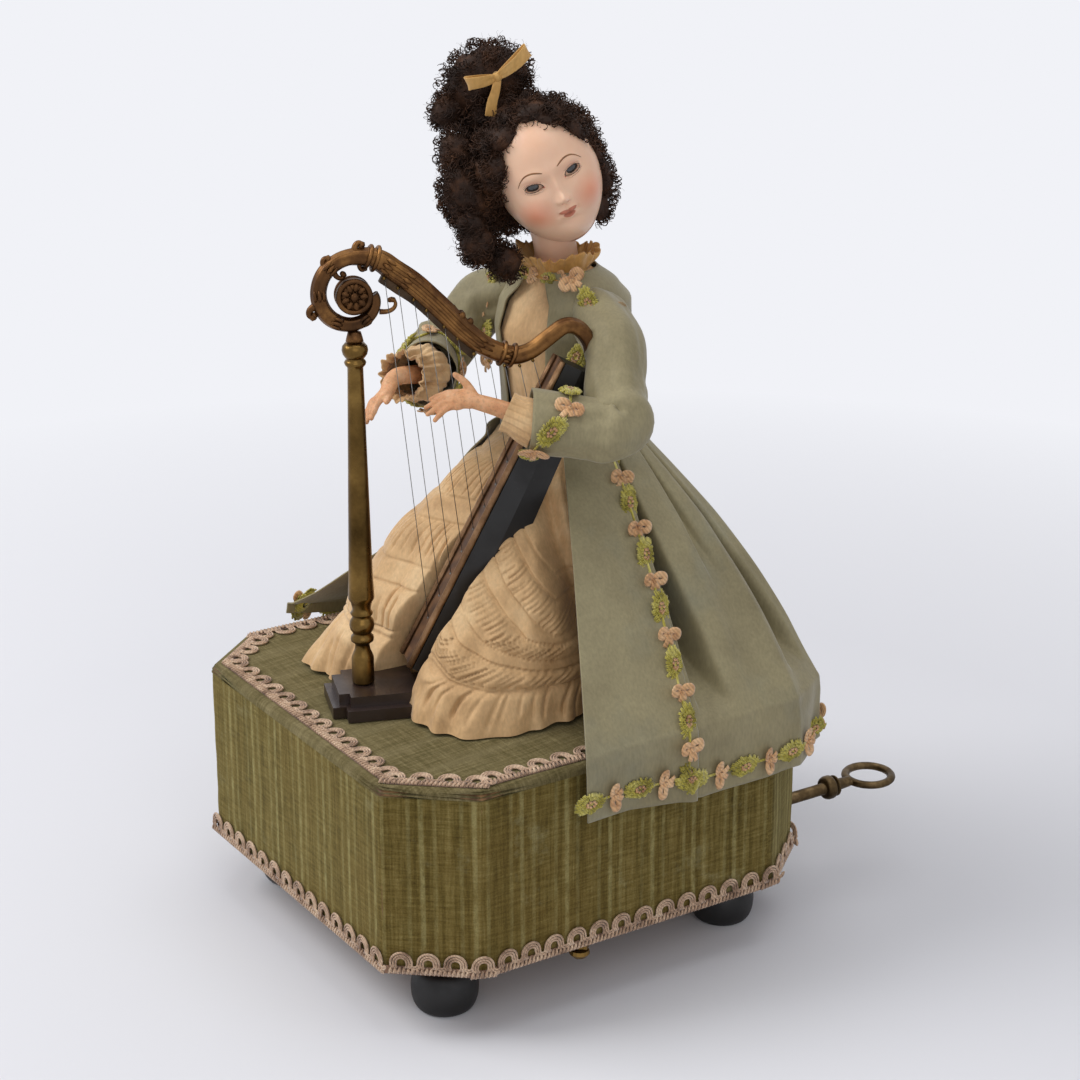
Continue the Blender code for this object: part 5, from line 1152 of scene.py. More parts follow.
def hem_face(p):
    q = (p - SHIFT) / MM
    out = Vector((q.x / 133, (q.y - 20) / 120, 0))
    if abs(out.x) > abs(out.y) * 1.02:
        return Vector((math.copysign(1, out.x), 0.15 * out.y, 0)).normalized()
    return Vector((0.3 * out.x, math.copysign(1, out.y), 0)).normalized()


def smooth_cloth(made, times):
    bm = bmesh.new()
    bm.from_mesh(made.data)
    for k in range(times):
        bmesh.ops.smooth_vert(bm, verts=[v for v in bm.verts if not v.is_boundary], factor=0.5,
                              use_axis_x=True, use_axis_y=True, use_axis_z=True)
    bm.to_mesh(made.data)
    bm.free()


def thicken(made, amount, offset=-1.0):
    solid = made.modifiers.new("thickness", "SOLIDIFY")
    solid.thickness = amount * MM
    solid.offset = offset
    return made


class Trim:
    """Dress trim: green knitted ovals and small ribbon bows that take turns along a line."""

    PITCH = 31.0

    def __init__(self, green, tan):
        self.green, self.tan = green, tan
        self.ovals, self.bows = Cloud(), Cloud()
        self.dice = random.Random(11)

    def run(self, path, face_of, size=1.0, first=0):
        pitch = self.PITCH * size * MM
        length = sum((b - a).length for a, b in zip(path, path[1:]))
        count = max(1, round(length / pitch))
        step = length / count
        spots = walk(path, step / 2)
        for number, (spot, along) in enumerate(spots):
            face = face_of(spot)
            along = (along - face * along.dot(face)).normalized()
            across = face.cross(along).normalized()
            if (number + first) % 2 == 0:
                self.oval(spot, along, across, face, size)
            else:
                self.bow(spot, along, across, face, size)
        self.ovals.tube([p + face_of(p) * 0.3 * MM for p in path[::3]], 0.75 * size * MM, 5)

    def oval(self, spot, along, across, face, size):
        dice = self.dice
        half, wide = 9.6 * size, 5.6 * size
        for ring, (inner, outer, lift, count) in enumerate(((0.55, 1.0, 1.4, 30), (0.3, 0.72, 2.1, 22))):
            for k in range(count):
                a = math.tau * (k + dice.uniform(-0.2, 0.2)) / count
                b = a + dice.uniform(-0.12, 0.12)
                c, s = math.cos(a), math.sin(a)
                grow = dice.uniform(0.88, 1.1)
                near = spot + (along * half * inner * c + across * wide * inner * s) * MM + face * 0.5 * MM
                far = spot + (along * half * outer * grow * math.cos(b) + across * wide * outer * grow * math.sin(b)
                              ) * MM + face * dice.uniform(0.2, 0.7) * MM
                top = near.lerp(far, 0.55) + face * lift * dice.uniform(0.7, 1.15) * size * MM
                turn = (along * -s + across * c) * 0.75 * size * MM
                self.ovals.tube([near, top - turn * 0.3, far - turn * 0.4, far + turn * 0.6, top + turn * 0.8,
                                 near + turn * 0.5], 0.42 * size * MM, 4)
        turn = Matrix((along, across, face)).transposed()
        self.ovals.ball(spot + face * 0.4 * MM, (half * 0.86 * MM, wide * 0.84 * MM, 1.3 * size * MM), turn, 8, 18)
        for k in range(7):
            a = math.tau * k / 7
            at = spot + (along * 2.6 * math.cos(a) + across * 1.4 * math.sin(a)) * size * MM + face * 1.9 * MM
            self.bows.ball(at, (0.95 * size * MM,) * 3, rings=4, sides=6)

    def bow(self, spot, along, across, face, size):
        dice = self.dice
        base = spot + face * 1.1 * MM
        for side in (-1, 1):
            reach = (across * side + along * dice.uniform(-0.45, 0.1)).normalized()
            lean = face.cross(reach) * side
            span = dice.uniform(5.4, 6.6) * size * MM
            loop = [base, base + reach * span * 0.45 + lean * span * 0.36 + face * 1.2 * MM,
                    base + reach * span + lean * span * 0.16 + face * 1.7 * MM,
                    base + reach * span * 0.92 - lean * span * 0.3 + face * 1.0 * MM,
                    base + reach * span * 0.4 - lean * span * 0.26 + face * 0.4 * MM, base]
            self.bows.tube(spline(loop, 4), 1.9 * size * MM, 6, up=face, flat=0.28)
            end = base + (across * side * dice.uniform(0.25, 0.5) + along * dice.uniform(0.7, 1.0)) * span
            self.bows.tube(spline([base, base.lerp(end, 0.5) + face * 1.1 * MM, end + face * 0.3 * MM], 3),
                           1.6 * size * MM, 6, up=face, flat=0.26)
        self.bows.ball(base + face * 1.1 * size * MM, (1.5 * size * MM,) * 3, rings=5, sides=8)

    def finish(self, name, body_name):
        a = self.ovals.piece(name + "_ovals", body_name, self.green, "coat_silk")
        b = self.bows.piece(name + "_bows", body_name, self.tan, "coat_silk")
        return [a, b]


COAT_BODICE = ((270.2, 37.0, 22.6, 45.0), (274, 35.6, 22.4, 43.6), (290, 34.4, 24.4, 43.4), (310, 35.4, 27.4, 43.4),
               (328, 36.4, 29.4, 45.2), (342, 36.0, 24.6, 45.2), (352, 31.6, 18.6, 35.4), (361.4, 20.8, 15, 23.2))


def bodice_spot(z, around, lift=0.0):
    side, front, back = between(COAT_BODICE, z)
    c, s = math.cos(around), math.sin(around)
    reach = 1 / math.sqrt((c / (front if c > 0 else back)) ** 2 + (s / side) ** 2) + lift
    return body(reach * s, reach * c, z)


def make_bodice(paint, cream, organza, green, tan):
    columns, rows = 150, 70
    verts = []
    for r in range(rows):
        z = 268.2 + (361.4 - 268.2) * r / (rows - 1)
        opening = 40 if z < 345 else 40 - 12 * min(1, (z - 345) / 10)
        opening -= 6 * math.sin(math.pi * (z - 270) / 91)
        for c in range(columns):
            a = math.radians(opening + (360 - 2 * opening) * c / (columns - 1))
            crease = 0.5 * noise.noise(Vector((math.cos(a) * 2, math.sin(a) * 2, z * 0.05)))
            dart = -0.7 * math.exp(-((math.degrees(a) - 180) / 2.2) ** 2) - 0.5 * sum(
                math.exp(-((math.degrees(a) - k) / 2) ** 2) for k in (120, 150, 210, 240))
            verts.append(bodice_spot(z, a, crease + dart * (z < 345)))
    made = build("coat_bodice_cloth", verts, grid_faces(rows, columns), "base", paint)
    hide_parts("coat_bodice")
    cut_sheet(made)
    thicken(made, 0.8)
    front = ((272, 15, 17.2), (278, 16, 17.8), (300, 18, 21), (325, 20, 25), (340, 19, 19.6), (351, 14, 12.6),
             (360, 12, 12.0))
    verts = []
    rows, columns = 60, 40
    for r in range(rows):
        z = 272 + (360 - 272) * r / (rows - 1)
        half, ahead = between(front, z)
        for c in range(columns):
            side = half * (2 * c / (columns - 1) - 1)
            fold = 0.10 * math.sin(side * 1.1 + 0.8 * math.sin(z * 0.09)) + 0.5 * noise.noise(Vector((side * 0.14, z * 0.05, 3)))
            fold -= 0.35 * math.exp(-((side + 4) / 0.6) ** 2) + 0.5 * math.exp(-((z - 345) / 0.7) ** 2) * (side > -4)
            verts.append(body(side, ahead * math.sqrt(max(0.0, 1 - (side / 38) ** 2)) + fold + 0.6, z))
    bib = build("bodice_front_cloth", verts, grid_faces(rows, columns), "base", cream)
    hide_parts("bodice_front")
    cut_sheet(bib)
    thicken(bib, 0.7)
    trim = Trim(green, tan)
    for sign in (1, -1):
        line = spline([body(sign * left, front, z) for left, front, z in (
            (26, 13, 359.5), (33, 13, 354), (38.5, 12.4, 346.5), (40, 14, 338), (38, 16, 328), (33, 19, 318), (29, 21, 306))], 8)
        outward = (FRONT * 0.85 + LEFT * 0.35 * sign + Vector((0, 0, 0.3))).normalized()
        trim.run(line, lambda p, outward=outward: outward, 1.0, 1)
    collar = [body(19.8 * math.sin(math.radians(k)), 15.4 * math.cos(math.radians(k)), 357.8) for k in range(-78, 79, 4)]
    trim.run(collar, lambda p: (FRONT * 0.9 + Vector((0, 0, 0.35))).normalized(), 0.6)
    trim.finish("bodice_trim", "base")
    ruffle(organza)


def ruffle(paint):
    """A standing frill of stiff thin silk round the neck, crushed at random."""
    columns, rows = 300, 18
    verts = []
    for r in range(rows):
        t = r / (rows - 1)
        open_out = smooth_step(0.25, 1.0, t)
        for c in range(columns):
            a = math.tau * c / columns
            ahead = math.cos(a)
            base = 20.6 - (5.4 if ahead > 0 else 0.2) * ahead ** 2
            wave = math.sin(a * 15 + 2.2 * math.sin(a * 3)) + 0.6 * math.sin(a * 27 + 2.0 * math.sin(a * 2))
            crush = noise.noise(Vector((math.cos(a) * 3, math.sin(a) * 3, t * 2)))
            reach = base + 1.6 * (1 - smooth_step(0, 0.14, t)) - 2.2 * smooth_step(0, 0.3, t) * (1 - 0.6 * ahead) + 4.4 * open_out + 1.25 * wave * open_out + 2.4 * crush * open_out
            z = 357.4 + 13.6 * t + (1.3 * math.sin(a * 5 + 1) + 0.8 * math.sin(a * 23) - 3.4 * max(0, ahead) ** 3) * t
            verts.append(body(reach * math.sin(a), reach * ahead, z))
    made = build("collar_frill", verts, grid_faces(rows, columns, True), "base", paint)
    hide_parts("collar_ruffle")
    cut_sheet(made)
    thicken(made, 0.5, 0)


ELBOWS = {"left": Vector((72, 24, 296)), "right": Vector((-66, 0, 306))}
SLEEVE_ENDS = {"left": Vector((52, -14, 299)), "right": Vector((-33, -27, 307))}
WRISTS = {"left": Vector((41, -27, 306)), "right": Vector((-19, -53, 312))}


def tube_rows(path, radii, columns, shape):
    rows = []
    for i, (point, radius, (side, normal)) in enumerate(zip(path, radii, frames(path))):
        row = []
        for c in range(columns):
            a = math.tau * c / columns
            reach = radius * shape(i / (len(path) - 1), a)
            row.append(point + side * reach * math.cos(a) + normal * reach * math.sin(a))
        rows.append(row)
    return rows


def make_sleeve(side, sign, paint, cream, green, tan):
    """A set-in sleeve that widens to an open end, with a gathered cuff of silk inside it."""
    shoulder = TORSO + LEFT * sign * 37 + FRONT * -1 + Vector((0, 0, 341))
    elbow, end, wrist = ELBOWS[side], SLEEVE_ENDS[side], WRISTS[side]
    away = (wrist - end).normalized()
    crook = elbow + (elbow - (shoulder + end) / 2).normalized() * 1.5
    path = spline([shoulder - LEFT * sign * 11, shoulder.lerp(crook, 0.3) + LEFT * sign * 3.5 + Vector((0, 0, 2)), shoulder.lerp(crook, 0.66)
                   + LEFT * sign * 1.5, crook, crook.lerp(end, 0.4), end + away * 1.0], 12)
    last = len(path) - 1
    profile = ((0, 13.6), (0.08, 15.6), (0.18, 15.8), (0.36, 14.8), (0.6, 15.8), (0.8, 15.6), (1.0, 16.4))
    radii = [between(profile, i / last)[0] for i in range(last + 1)]

    def creases(t, a):
        bend = math.exp(-((t - 0.58) / 0.12) ** 2)
        inner = 0.5 - 0.5 * math.cos(a + 0.7)
        wave = 0.085 * math.sin(t * 46 + 2.2 * math.sin(a) + 1.0) * bend * (0.3 + inner)
        soft = 0.14 * noise.noise(Vector((math.cos(a - t * 1.6) * 1.5, math.sin(a - t * 1.6) * 1.5, t * 3.4 + sign * 3)))
        soft += 0.05 * noise.noise(Vector((math.cos(a) * 3.2, math.sin(a) * 3.2, t * 12))) * (1 - smooth_step(0.86, 1, t))
        top = -0.03 * math.exp(-((t - 0.05) / 0.05) ** 2) * math.cos(6 * a)
        return 1 + wave + soft + top

    rows = tube_rows(path, radii, 72, creases)
    made = build(f"{side}_sleeve_cloth", [p * MM + SHIFT for row in rows for p in row],
                 grid_faces(len(rows), 72, True), f"{side}_arm", paint)
    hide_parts(f"{side}_sleeve")
    cut_sheet(made)
    thicken(made, 0.8)
    world = made.matrix_world.copy()
    made.parent = None
    made.matrix_world = world
    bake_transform(made)
    trim = Trim(green, tan)
    rim_rows = tube_rows(path, [r + 1.2 for r in radii], 72, creases)
    middle = path[-5] * MM + SHIFT
    ring = []
    for k in range(73):
        spot = rim_rows[-5][k % 72] * MM + SHIFT - middle
        back = 1.0 + 7.5 * smooth_step(-0.9, 0.9, spot.z / spot.length)
        near = int(back)
        ring.append(rim_rows[-1 - near][k % 72].lerp(rim_rows[-2 - near][k % 72], back - near) * MM + SHIFT)
    if side == "left":
        across = HARP_TURN @ Vector((1, 0, 0))
        clear = [((p - SHIFT) / MM - HARP_FOOT).dot(across) > 24 for p in ring[:72]]
        if not all(clear):
            first = next(k for k in range(72) if clear[k] and not clear[k - 1])
            ring = [ring[(first + k) % 72] for k in range(sum(clear))]
    axis = (path[-1] - path[-5]).normalized()
    trim.run(ring, lambda p: ((p - middle) - axis * (p - middle).dot(axis)).normalized(), 1.0)
    trim.finish(f"{side}_sleeve_trim", f"{side}_arm")
    left = side == "left"
    length = 17.0 if left else 27.5
    start = end - away * 3.0
    cuff_path = spline([start + away * length * k / 4 for k in range(5)], 5)
    swell = ((0, 12.4), (0.3, 11.6), (0.8, 10.0), (1, 10.2)) if left else ((0, 13.6), (0.4, 14.4), (0.75, 12.2), (0.88, 10.6),
                                                                       (1, 13.2))
    spread = [between(swell, i / (len(cuff_path) - 1))[0] for i in range(len(cuff_path))]

    def pleats(t, a):
        if left:
            fold = 0.028 * math.sin(a * 18 + 0.5 * math.sin(a * 3)) + 0.012 * math.sin(a * 37)
            return 1 + fold * (0.5 + 0.7 * t) + 0.05 * noise.noise(Vector((math.cos(a) * 2, math.sin(a) * 2, t * 2)))
        fold = 0.07 * math.sin(a * 12 + 1.5 * math.sin(a * 2) + 2 * t) + 0.05 * math.sin(a * 23 + 3 * t)
        return 1 + fold * (0.4 + 0.5 * t) + 0.22 * noise.noise(Vector((math.cos(a) * 2, math.sin(a) * 2, t * 3 + 4)))

    columns = 168
    verts = [p * MM + SHIFT for row in tube_rows(cuff_path, spread, columns, pleats) for p in row]
    count = len(cuff_path)
    cuff = build(f"{side}_cuff_frill", verts, grid_faces(count, columns, True), f"{side}_arm", cream)
    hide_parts(f"{side}_cuff")
    cut_sheet(cuff)
    thicken(cuff, 0.5, 0)


# Head

HEAD_AT = Vector((-6, 33, 412))
HEAD_TURN = (Matrix.Rotation(math.radians(65), 3, "Z") @ Matrix.Rotation(math.radians(-27), 3, "Y")
             @ Matrix.Rotation(math.radians(4), 3, "X"))
FACE_TURN = (Matrix.Rotation(math.radians(67), 3, "Z") @ Matrix.Rotation(math.radians(-25), 3, "Y")
             @ Matrix.Rotation(math.radians(2), 3, "X"))
HEAD_HALF = Vector((27.6, 31, 37.5))
EYE_X, EYE_Z = 10.9, 4.4
EYE_R = 6.4


def head_place(p, turn=None):
    return (HEAD_AT + (turn or FACE_TURN) @ Vector(p)) * MM + SHIFT


def hill(x, z, at_x, at_z, wide, high):
    return math.exp(-((x - at_x) / wide) ** 2 - ((z - at_z) / high) ** 2)


def eye_share(x, z):
    """Below 1 inside an almond opening, above 1 outside it."""
    side = x - EYE_X
    lean = z - EYE_Z - 0.08 * side
    high = 2.5 if lean > 0 else 1.9
    return (side / 4.7) ** 2 + (lean / high) ** 2 + 0.12 * abs(side / 4.7) ** 3


def face_relief(x, z):
    x = abs(x)
    lift = 4.9 * hill(x, z, 0, -5.0, 2.5, 3.0) + 2.5 * hill(x, z, 0, 0.5, 2.2, 6.0) + 1.7 * hill(x, z, 2.6, -6.0, 1.5, 1.6)
    lift += 1.3 * hill(x, z, 9, 10.0, 8, 3.2) + 2.9 * hill(x, z, 14.5, -10, 8.5, 9) + 1.6 * hill(x, z, 0, 24, 16, 12)
    lift += 1.6 * hill(x, z, 2.0, -12.5, 2.1, 1.1) + 2.1 * hill(x, z, 0, -15.4, 3.2, 1.3)
    lift += 1.6 * hill(x, z, 0, -13.5, 5.0, 3.6)
    lift -= 0.7 * hill(x, z, 0, -9.6, 0.9, 1.4) + 1.3 * hill(x, z, 0, -13.8, 4.2, 0.42)
    lift -= 0.9 * hill(x, z, 5.4, -13.6, 1.2, 1.4) + 1.3 * hill(x, z, 0, -19.2, 5.0, 1.9)
    lift += 2.2 * hill(x, z, 0, -25.0, 8.0, 5.5) - 1.0 * hill(x, z, 1.4, -8.2, 0.6, 0.5)
    lift -= 2.1 * hill(x, z, EYE_X - 1.5, EYE_Z, 6.0, 4.0)
    share = eye_share(x, z)
    lift += 0.75 * math.exp(-((share - 1.35) / 0.35) ** 2)
    lift -= 2.2 * min(1.0, max(0.0, (1.12 - share) / 0.28))
    return lift


def head_spot(d):
    """The head's surface in a direction from its middle, in millimetres of its own axes."""
    reach = 1 / math.sqrt(sum((d[i] / HEAD_HALF[i]) ** 2 for i in range(3)))
    p = d * reach
    if p.z < -6:
        p.x *= 1 - 0.09 * min(1, (-6 - p.z) / 28) ** 1.3
        p.y += 2.0 * min(1, (-6 - p.z) / 28) * (p.y > 0) * -3
    ahead = min(1.0, max(0.0, (-d.y - 0.12) / 0.35))
    return p + Vector((p.x / 60, -1, p.z / 90)).normalized() * face_relief(p.x, p.z) * ahead


def face_spot(x, z, lift=0.0):
    """A point on the face at a place across and up it."""
    d = Vector((x, -28, z)).normalized()
    for k in range(6):
        p = head_spot(d)
        d = (d + Vector((x - p.x, 0, z - p.z)) / 34).normalized()
    p = head_spot(d)
    return p + Vector((p.x / 30, -1, p.z / 45)).normalized() * lift


def in_head(paint, centre, sizes):
    """The distance from a point of the face in units of three sizes, as a node."""
    made = paint.node("Mapping", vector_type="TEXTURE")
    spot = head_place(centre)
    made.inputs["Location"].default_value = spot
    made.inputs["Rotation"].default_value = FACE_TURN.to_euler()
    made.inputs["Scale"].default_value = tuple(s * MM for s in sizes)
    paint.link(paint.place, made.inputs["Vector"])
    far = paint.node("VectorMath", operation="LENGTH")
    paint.link(made.outputs["Vector"], far.inputs[0])
    return far.outputs["Value"]


def bisque():
    paint = Paint("bisque", roughness=0.42, coat=0.12, specular=0.4)
    paint.set(**{"Subsurface Weight": 0.12, "Subsurface Scale": 0.003, "Coat Roughness": 0.4})
    paint.shader.inputs["Subsurface Radius"].default_value = (1.0, 0.35, 0.2)
    base = paint.ramp(paint.noise(45, 4), (0.3, srgb(226, 180, 148)), (0.7, srgb(236, 196, 166)))
    for side in (-1, 1):
        glow = paint.ramp(in_head(paint, (side * 14.5, -24, -9.5), (11.5, 16, 10.5)), (0.0, 0.72), (1.0, 0))
        base = paint.mix(glow, base, srgb(224, 120, 84))
        lid = paint.ramp(in_head(paint, (side * 11.2, -27, 7.6), (6.2, 9, 2.6)), (0.3, 0.35), (1.0, 0))
        base = paint.mix(lid, base, srgb(206, 140, 118))
        dot = paint.ramp(in_head(paint, (side * 1.5, -34, -8.2), (0.8, 5, 0.7)), (0.5, 0.8), (1.0, 0))
        base = paint.mix(dot, base, srgb(176, 84, 66))
        corner = paint.ramp(in_head(paint, (side * 6.2, -29, 3.6), (0.7, 5, 0.6)), (0.5, 0.8), (1.0, 0))
        base = paint.mix(corner, base, srgb(196, 84, 66))
    lips = None
    for at, size in (((-2.3, -31, -12.7), (3.1, 9, 1.15)), ((2.3, -31, -12.7), (3.1, 9, 1.15)),
                     ((0, -31, -14.8), (3.7, 9, 1.4))):
        mask = paint.ramp(in_head(paint, at, size), (0.82, 1), (1.0, 0))
        lips = mask if lips is None else paint.maths("MAXIMUM", lips, mask)
    base = paint.mix(paint.maths("MULTIPLY", lips, 0.88), base, srgb(174, 92, 66))
    line = paint.ramp(in_head(paint, (0, -31, -13.8), (4.6, 9, 0.34)), (0.5, 1), (1.0, 0))
    base = paint.mix(paint.maths("MULTIPLY", line, 0.7), base, srgb(112, 40, 34))
    paint.colour(base)
    paint.bump(paint.noise(900, 2), 0.05, 0.0001)
    return paint.material


def make_head(skin, hair_line):
    rows, columns = 170, 200
    verts = [head_place(head_spot(Vector((0, -1, 0))))]
    for r in range(1, rows):
        polar = math.pi * (r / rows) ** 1.35
        for c in range(columns):
            a = math.tau * c / columns
            d = Vector((math.sin(polar) * math.cos(a), -math.cos(polar), math.sin(polar) * math.sin(a)))
            verts.append(head_place(head_spot(d)))
    verts.append(head_place(head_spot(Vector((0, 1, 0)))))
    end = len(verts) - 1
    faces = [(0, 1 + (c + 1) % columns, 1 + c) for c in range(columns)]
    faces += [f[::-1] for f in grid_faces(rows - 1, columns, True, 1)]
    faces += [(end, end - columns + c, end - columns + (c + 1) % columns) for c in range(columns)]
    made = build("doll_face", verts, faces, "head", skin)
    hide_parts("head")
    low = Vector((TORSO.x, TORSO.y, 363))
    high = HEAD_AT + Vector((-2, 3, -16))
    path = spline([low, low + Vector((0, 0, 5)), low.lerp(high, 0.45) + Vector((0.5, 0, 0)), high], 9)
    radii = [between(((0, 13.4), (0.12, 12.4), (0.35, 11.5), (0.6, 11.4), (1, 14)), i / (len(path) - 1))[0]
             for i in range(len(path))]
    neck = Cloud()
    neck.tube([p * MM + SHIFT for p in path], [r * MM for r in radii], 56)
    column = neck.piece("doll_neck", "head", skin, "bisque")
    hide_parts("head")


def cap(centre, aim, radius, spread, rings=8, sides=28):
    """A round cap on a sphere, from its middle out to an angle."""
    side, up = frames([centre, centre + aim])[0]
    verts = [centre + aim * radius]
    for r in range(1, rings + 1):
        b = spread * r / rings
        for k in range(sides):
            a = math.tau * k / sides
            verts.append(centre + (aim * math.cos(b) + (side * math.cos(a) + up * math.sin(a)) * math.sin(b)) * radius)
    faces = [(0, 1 + k, 1 + (k + 1) % sides) for k in range(sides)]
    faces += grid_faces(rings, sides, True, 1)
    return verts, faces


def make_eyes():
    white = Paint("eye_white", roughness=0.12, coat=1.0)
    white.colour(white.ramp(white.noise(300, 3), (0.3, srgb(196, 190, 182)), (0.7, srgb(222, 218, 210))))
    iris = Paint("eye_iris", roughness=0.1, coat=1.0)
    iris.colour(iris.ramp(iris.noise(1500, 3), (0.3, srgb(14, 16, 22)), (0.7, srgb(40, 45, 54))))
    black = Paint("eye_pupil", roughness=0.08, coat=1.0)
    black.set(**{"Base Color": (*srgb(8, 8, 10), 1)})
    lash = Paint("painted_lashes", roughness=0.5)
    lash.colour(lash.ramp(lash.noise(400, 2), (0.3, srgb(30, 20, 15)), (0.7, srgb(58, 40, 28))))
    brow = Paint("painted_brows", roughness=0.5)
    brow.colour(brow.ramp(brow.noise(400, 2), (0.3, srgb(112, 72, 38)), (0.7, srgb(146, 100, 60))))
    balls, irises, pupils, lashes, brows = Cloud(), Cloud(), Cloud(), Cloud(), Cloud()
    for side in (-1, 1):
        front = face_spot(side * EYE_X, EYE_Z, 2.2 - 0.95)
        gaze = Vector((side * 0.22, -1, -0.06)).normalized()
        middle = front - gaze * EYE_R
        turned = FACE_TURN @ gaze
        balls.ball(head_place(middle), (EYE_R * MM,) * 3, rings=18, sides=28)
        for cloud, radius, spread in ((irises, EYE_R + 0.06, 0.58), (pupils, EYE_R + 0.1, 0.24)):
            cloud.add(*cap(head_place(middle), turned, radius * MM, spread))
        upper, lower = [], []
        for k in range(25):
            t = -1 + 2 * k / 24
            x = EYE_X + 4.75 * t
            lean = 0.08 * 4.75 * t
            upper.append(head_place(face_spot(side * x, EYE_Z + lean + 2.5 * math.sqrt(max(0, 1 - t * t * 0.98)) ** 1.1, 0.1)))
            lower.append(head_place(face_spot(side * x, EYE_Z + lean - 1.95 * math.sqrt(max(0, 1 - t * t * 0.98)) ** 1.1, 0.05)))
        lashes.tube(upper, [0.5 * MM * (0.5 + 0.5 * math.sin(math.pi * min(1, (k + 4) / 24))) for k in range(25)], 6)
        lashes.tube(lower, [0.2 * MM] * 25, 5)
        for k in range(15):
            t = -0.75 + 1.7 * k / 14
            x, lean = EYE_X + 4.75 * t, 0.08 * 4.75 * t
            root_z = EYE_Z + lean + 2.5 * math.sqrt(max(0, 1 - t * t * 0.98))
            lashes.tube([head_place(face_spot(side * (x + 0.9 * t * s), root_z + 1.15 * s, 0.08)) for s in (0, 0.5, 1)],
                        [0.13 * MM, 0.09 * MM, 0.03 * MM], 4)
            if k > 3:
                root_z = EYE_Z + lean - 1.95 * math.sqrt(max(0, 1 - t * t * 0.98))
                lashes.tube([head_place(face_spot(side * (x + 1.0 * t * s), root_z - 0.95 * s, 0.08)) for s in (0, 0.5, 1)],
                            [0.1 * MM, 0.07 * MM, 0.03 * MM], 4)
        arch = [face_spot(side * x, z, 0.06) for x, z in ((4.2, 10.9), (6.4, 11.9), (9.4, 12.7), (12.8, 12.3), (15.8, 10.3),
                                                        (18.2, 7.2))]
        line = spline([head_place(p) for p in arch], 6)
        brows.tube(line, [(0.14 + 0.34 * math.sin(math.pi * (i / (len(line) - 1)) ** 0.7)) * MM for i in range(len(line))],
                   6, up=FACE_TURN @ Vector((0, -1, 0)), flat=0.45)
    balls.piece("eye_whites", "head", white.material, "bisque")
    irises.piece("eye_irises", "head", iris.material, "bisque")
    pupils.piece("eye_pupils", "head", black.material, "bisque")
    lashes.piece("eye_lashes", "head", lash.material, "bisque")
    brows.piece("eyebrows", "head", brow.material, "bisque")


# Hair: the middle of each mass in the head's own axes, and its half sizes
HAIR_MASSES = (((-7, 19, 5), (43, 33, 36)), ((-5.6, 31, 50), (27, 20, 23)), ((-30, 28, 47), (12, 10, 11)),
               ((-42, 0, 8), (16, 14, 23)), ((-49, -12, -12), (12, 10, 13)), ((21, 3, -8), (13, 15, 26)),
               ((15, -3, -25), (9, 9, 13)), ((-18, 21, -11), (27, 19, 17)), ((16, -4, 27), (13, 13, 12)),
               ((-15, -4, 29), (14, 12, 11)), ((-27, -5, 14), (10, 12, 15)), ((0, 6, 36), (17, 15, 8)),
               ((-11, -9, 31), (13, 10, 8)), ((12, -9, 29), (12, 10, 8)), ((-21, -12, 20), (9, 9, 9)),
               ((21, -9, 17), (8, 9, 11)), ((-41, -13, -27), (10, 8, 11)), ((-8, 25, 36), (24, 18, 14)),
               ((-36, 12, 28), (12, 12, 16)), ((-47, -8, -2), (10, 10, 12)), ((-3, 22, -24), (20, 12, 15)),
               ((6, -6, 35), (14, 10, 7)), ((22, 8, 9), (11, 14, 17)))


def hair_share(p, grow=1.0):
    """The smallest share of any mass that a point lies in: below 1 is inside one."""
    return min(sum(((p[i] - m[i]) / (h[i] * grow)) ** 2 for i in range(3)) for m, h in HAIR_MASSES)


def over_face(p):
    """Whether a point of the head's axes hangs in front of the bare face."""
    q = FACE_TURN.transposed() @ (HEAD_TURN @ p)
    if sum((q[i] / (HEAD_HALF[i] + 0.6)) ** 2 for i in range(3)) < 1:
        return True
    brow = 27.5 - 0.045 * (q.x - 1) ** 2 + 1.0 * math.exp(-((q.x - 2) / 3) ** 2)
    return q.y < -6 and abs(q.x) < 25.5 + 0.02 * q.z and -46 < q.z < brow


def hair_paint():
    paint = Paint("curled_hair", roughness=0.62, specular=0.2)
    tone = paint.noise(90, 5, rough=0.7)
    base = paint.ramp(tone, (0.3, srgb(26, 15, 8)), (0.5, srgb(48, 29, 17)), (0.68, srgb(76, 48, 29)), (0.8, srgb(104, 70, 44)))
    paint.colour(base)
    fine = paint.noise(1400, 3, paint.stretched((1, 1, 0.3)))
    paint.bump(fine, 0.6, 0.0003)
    return paint.material


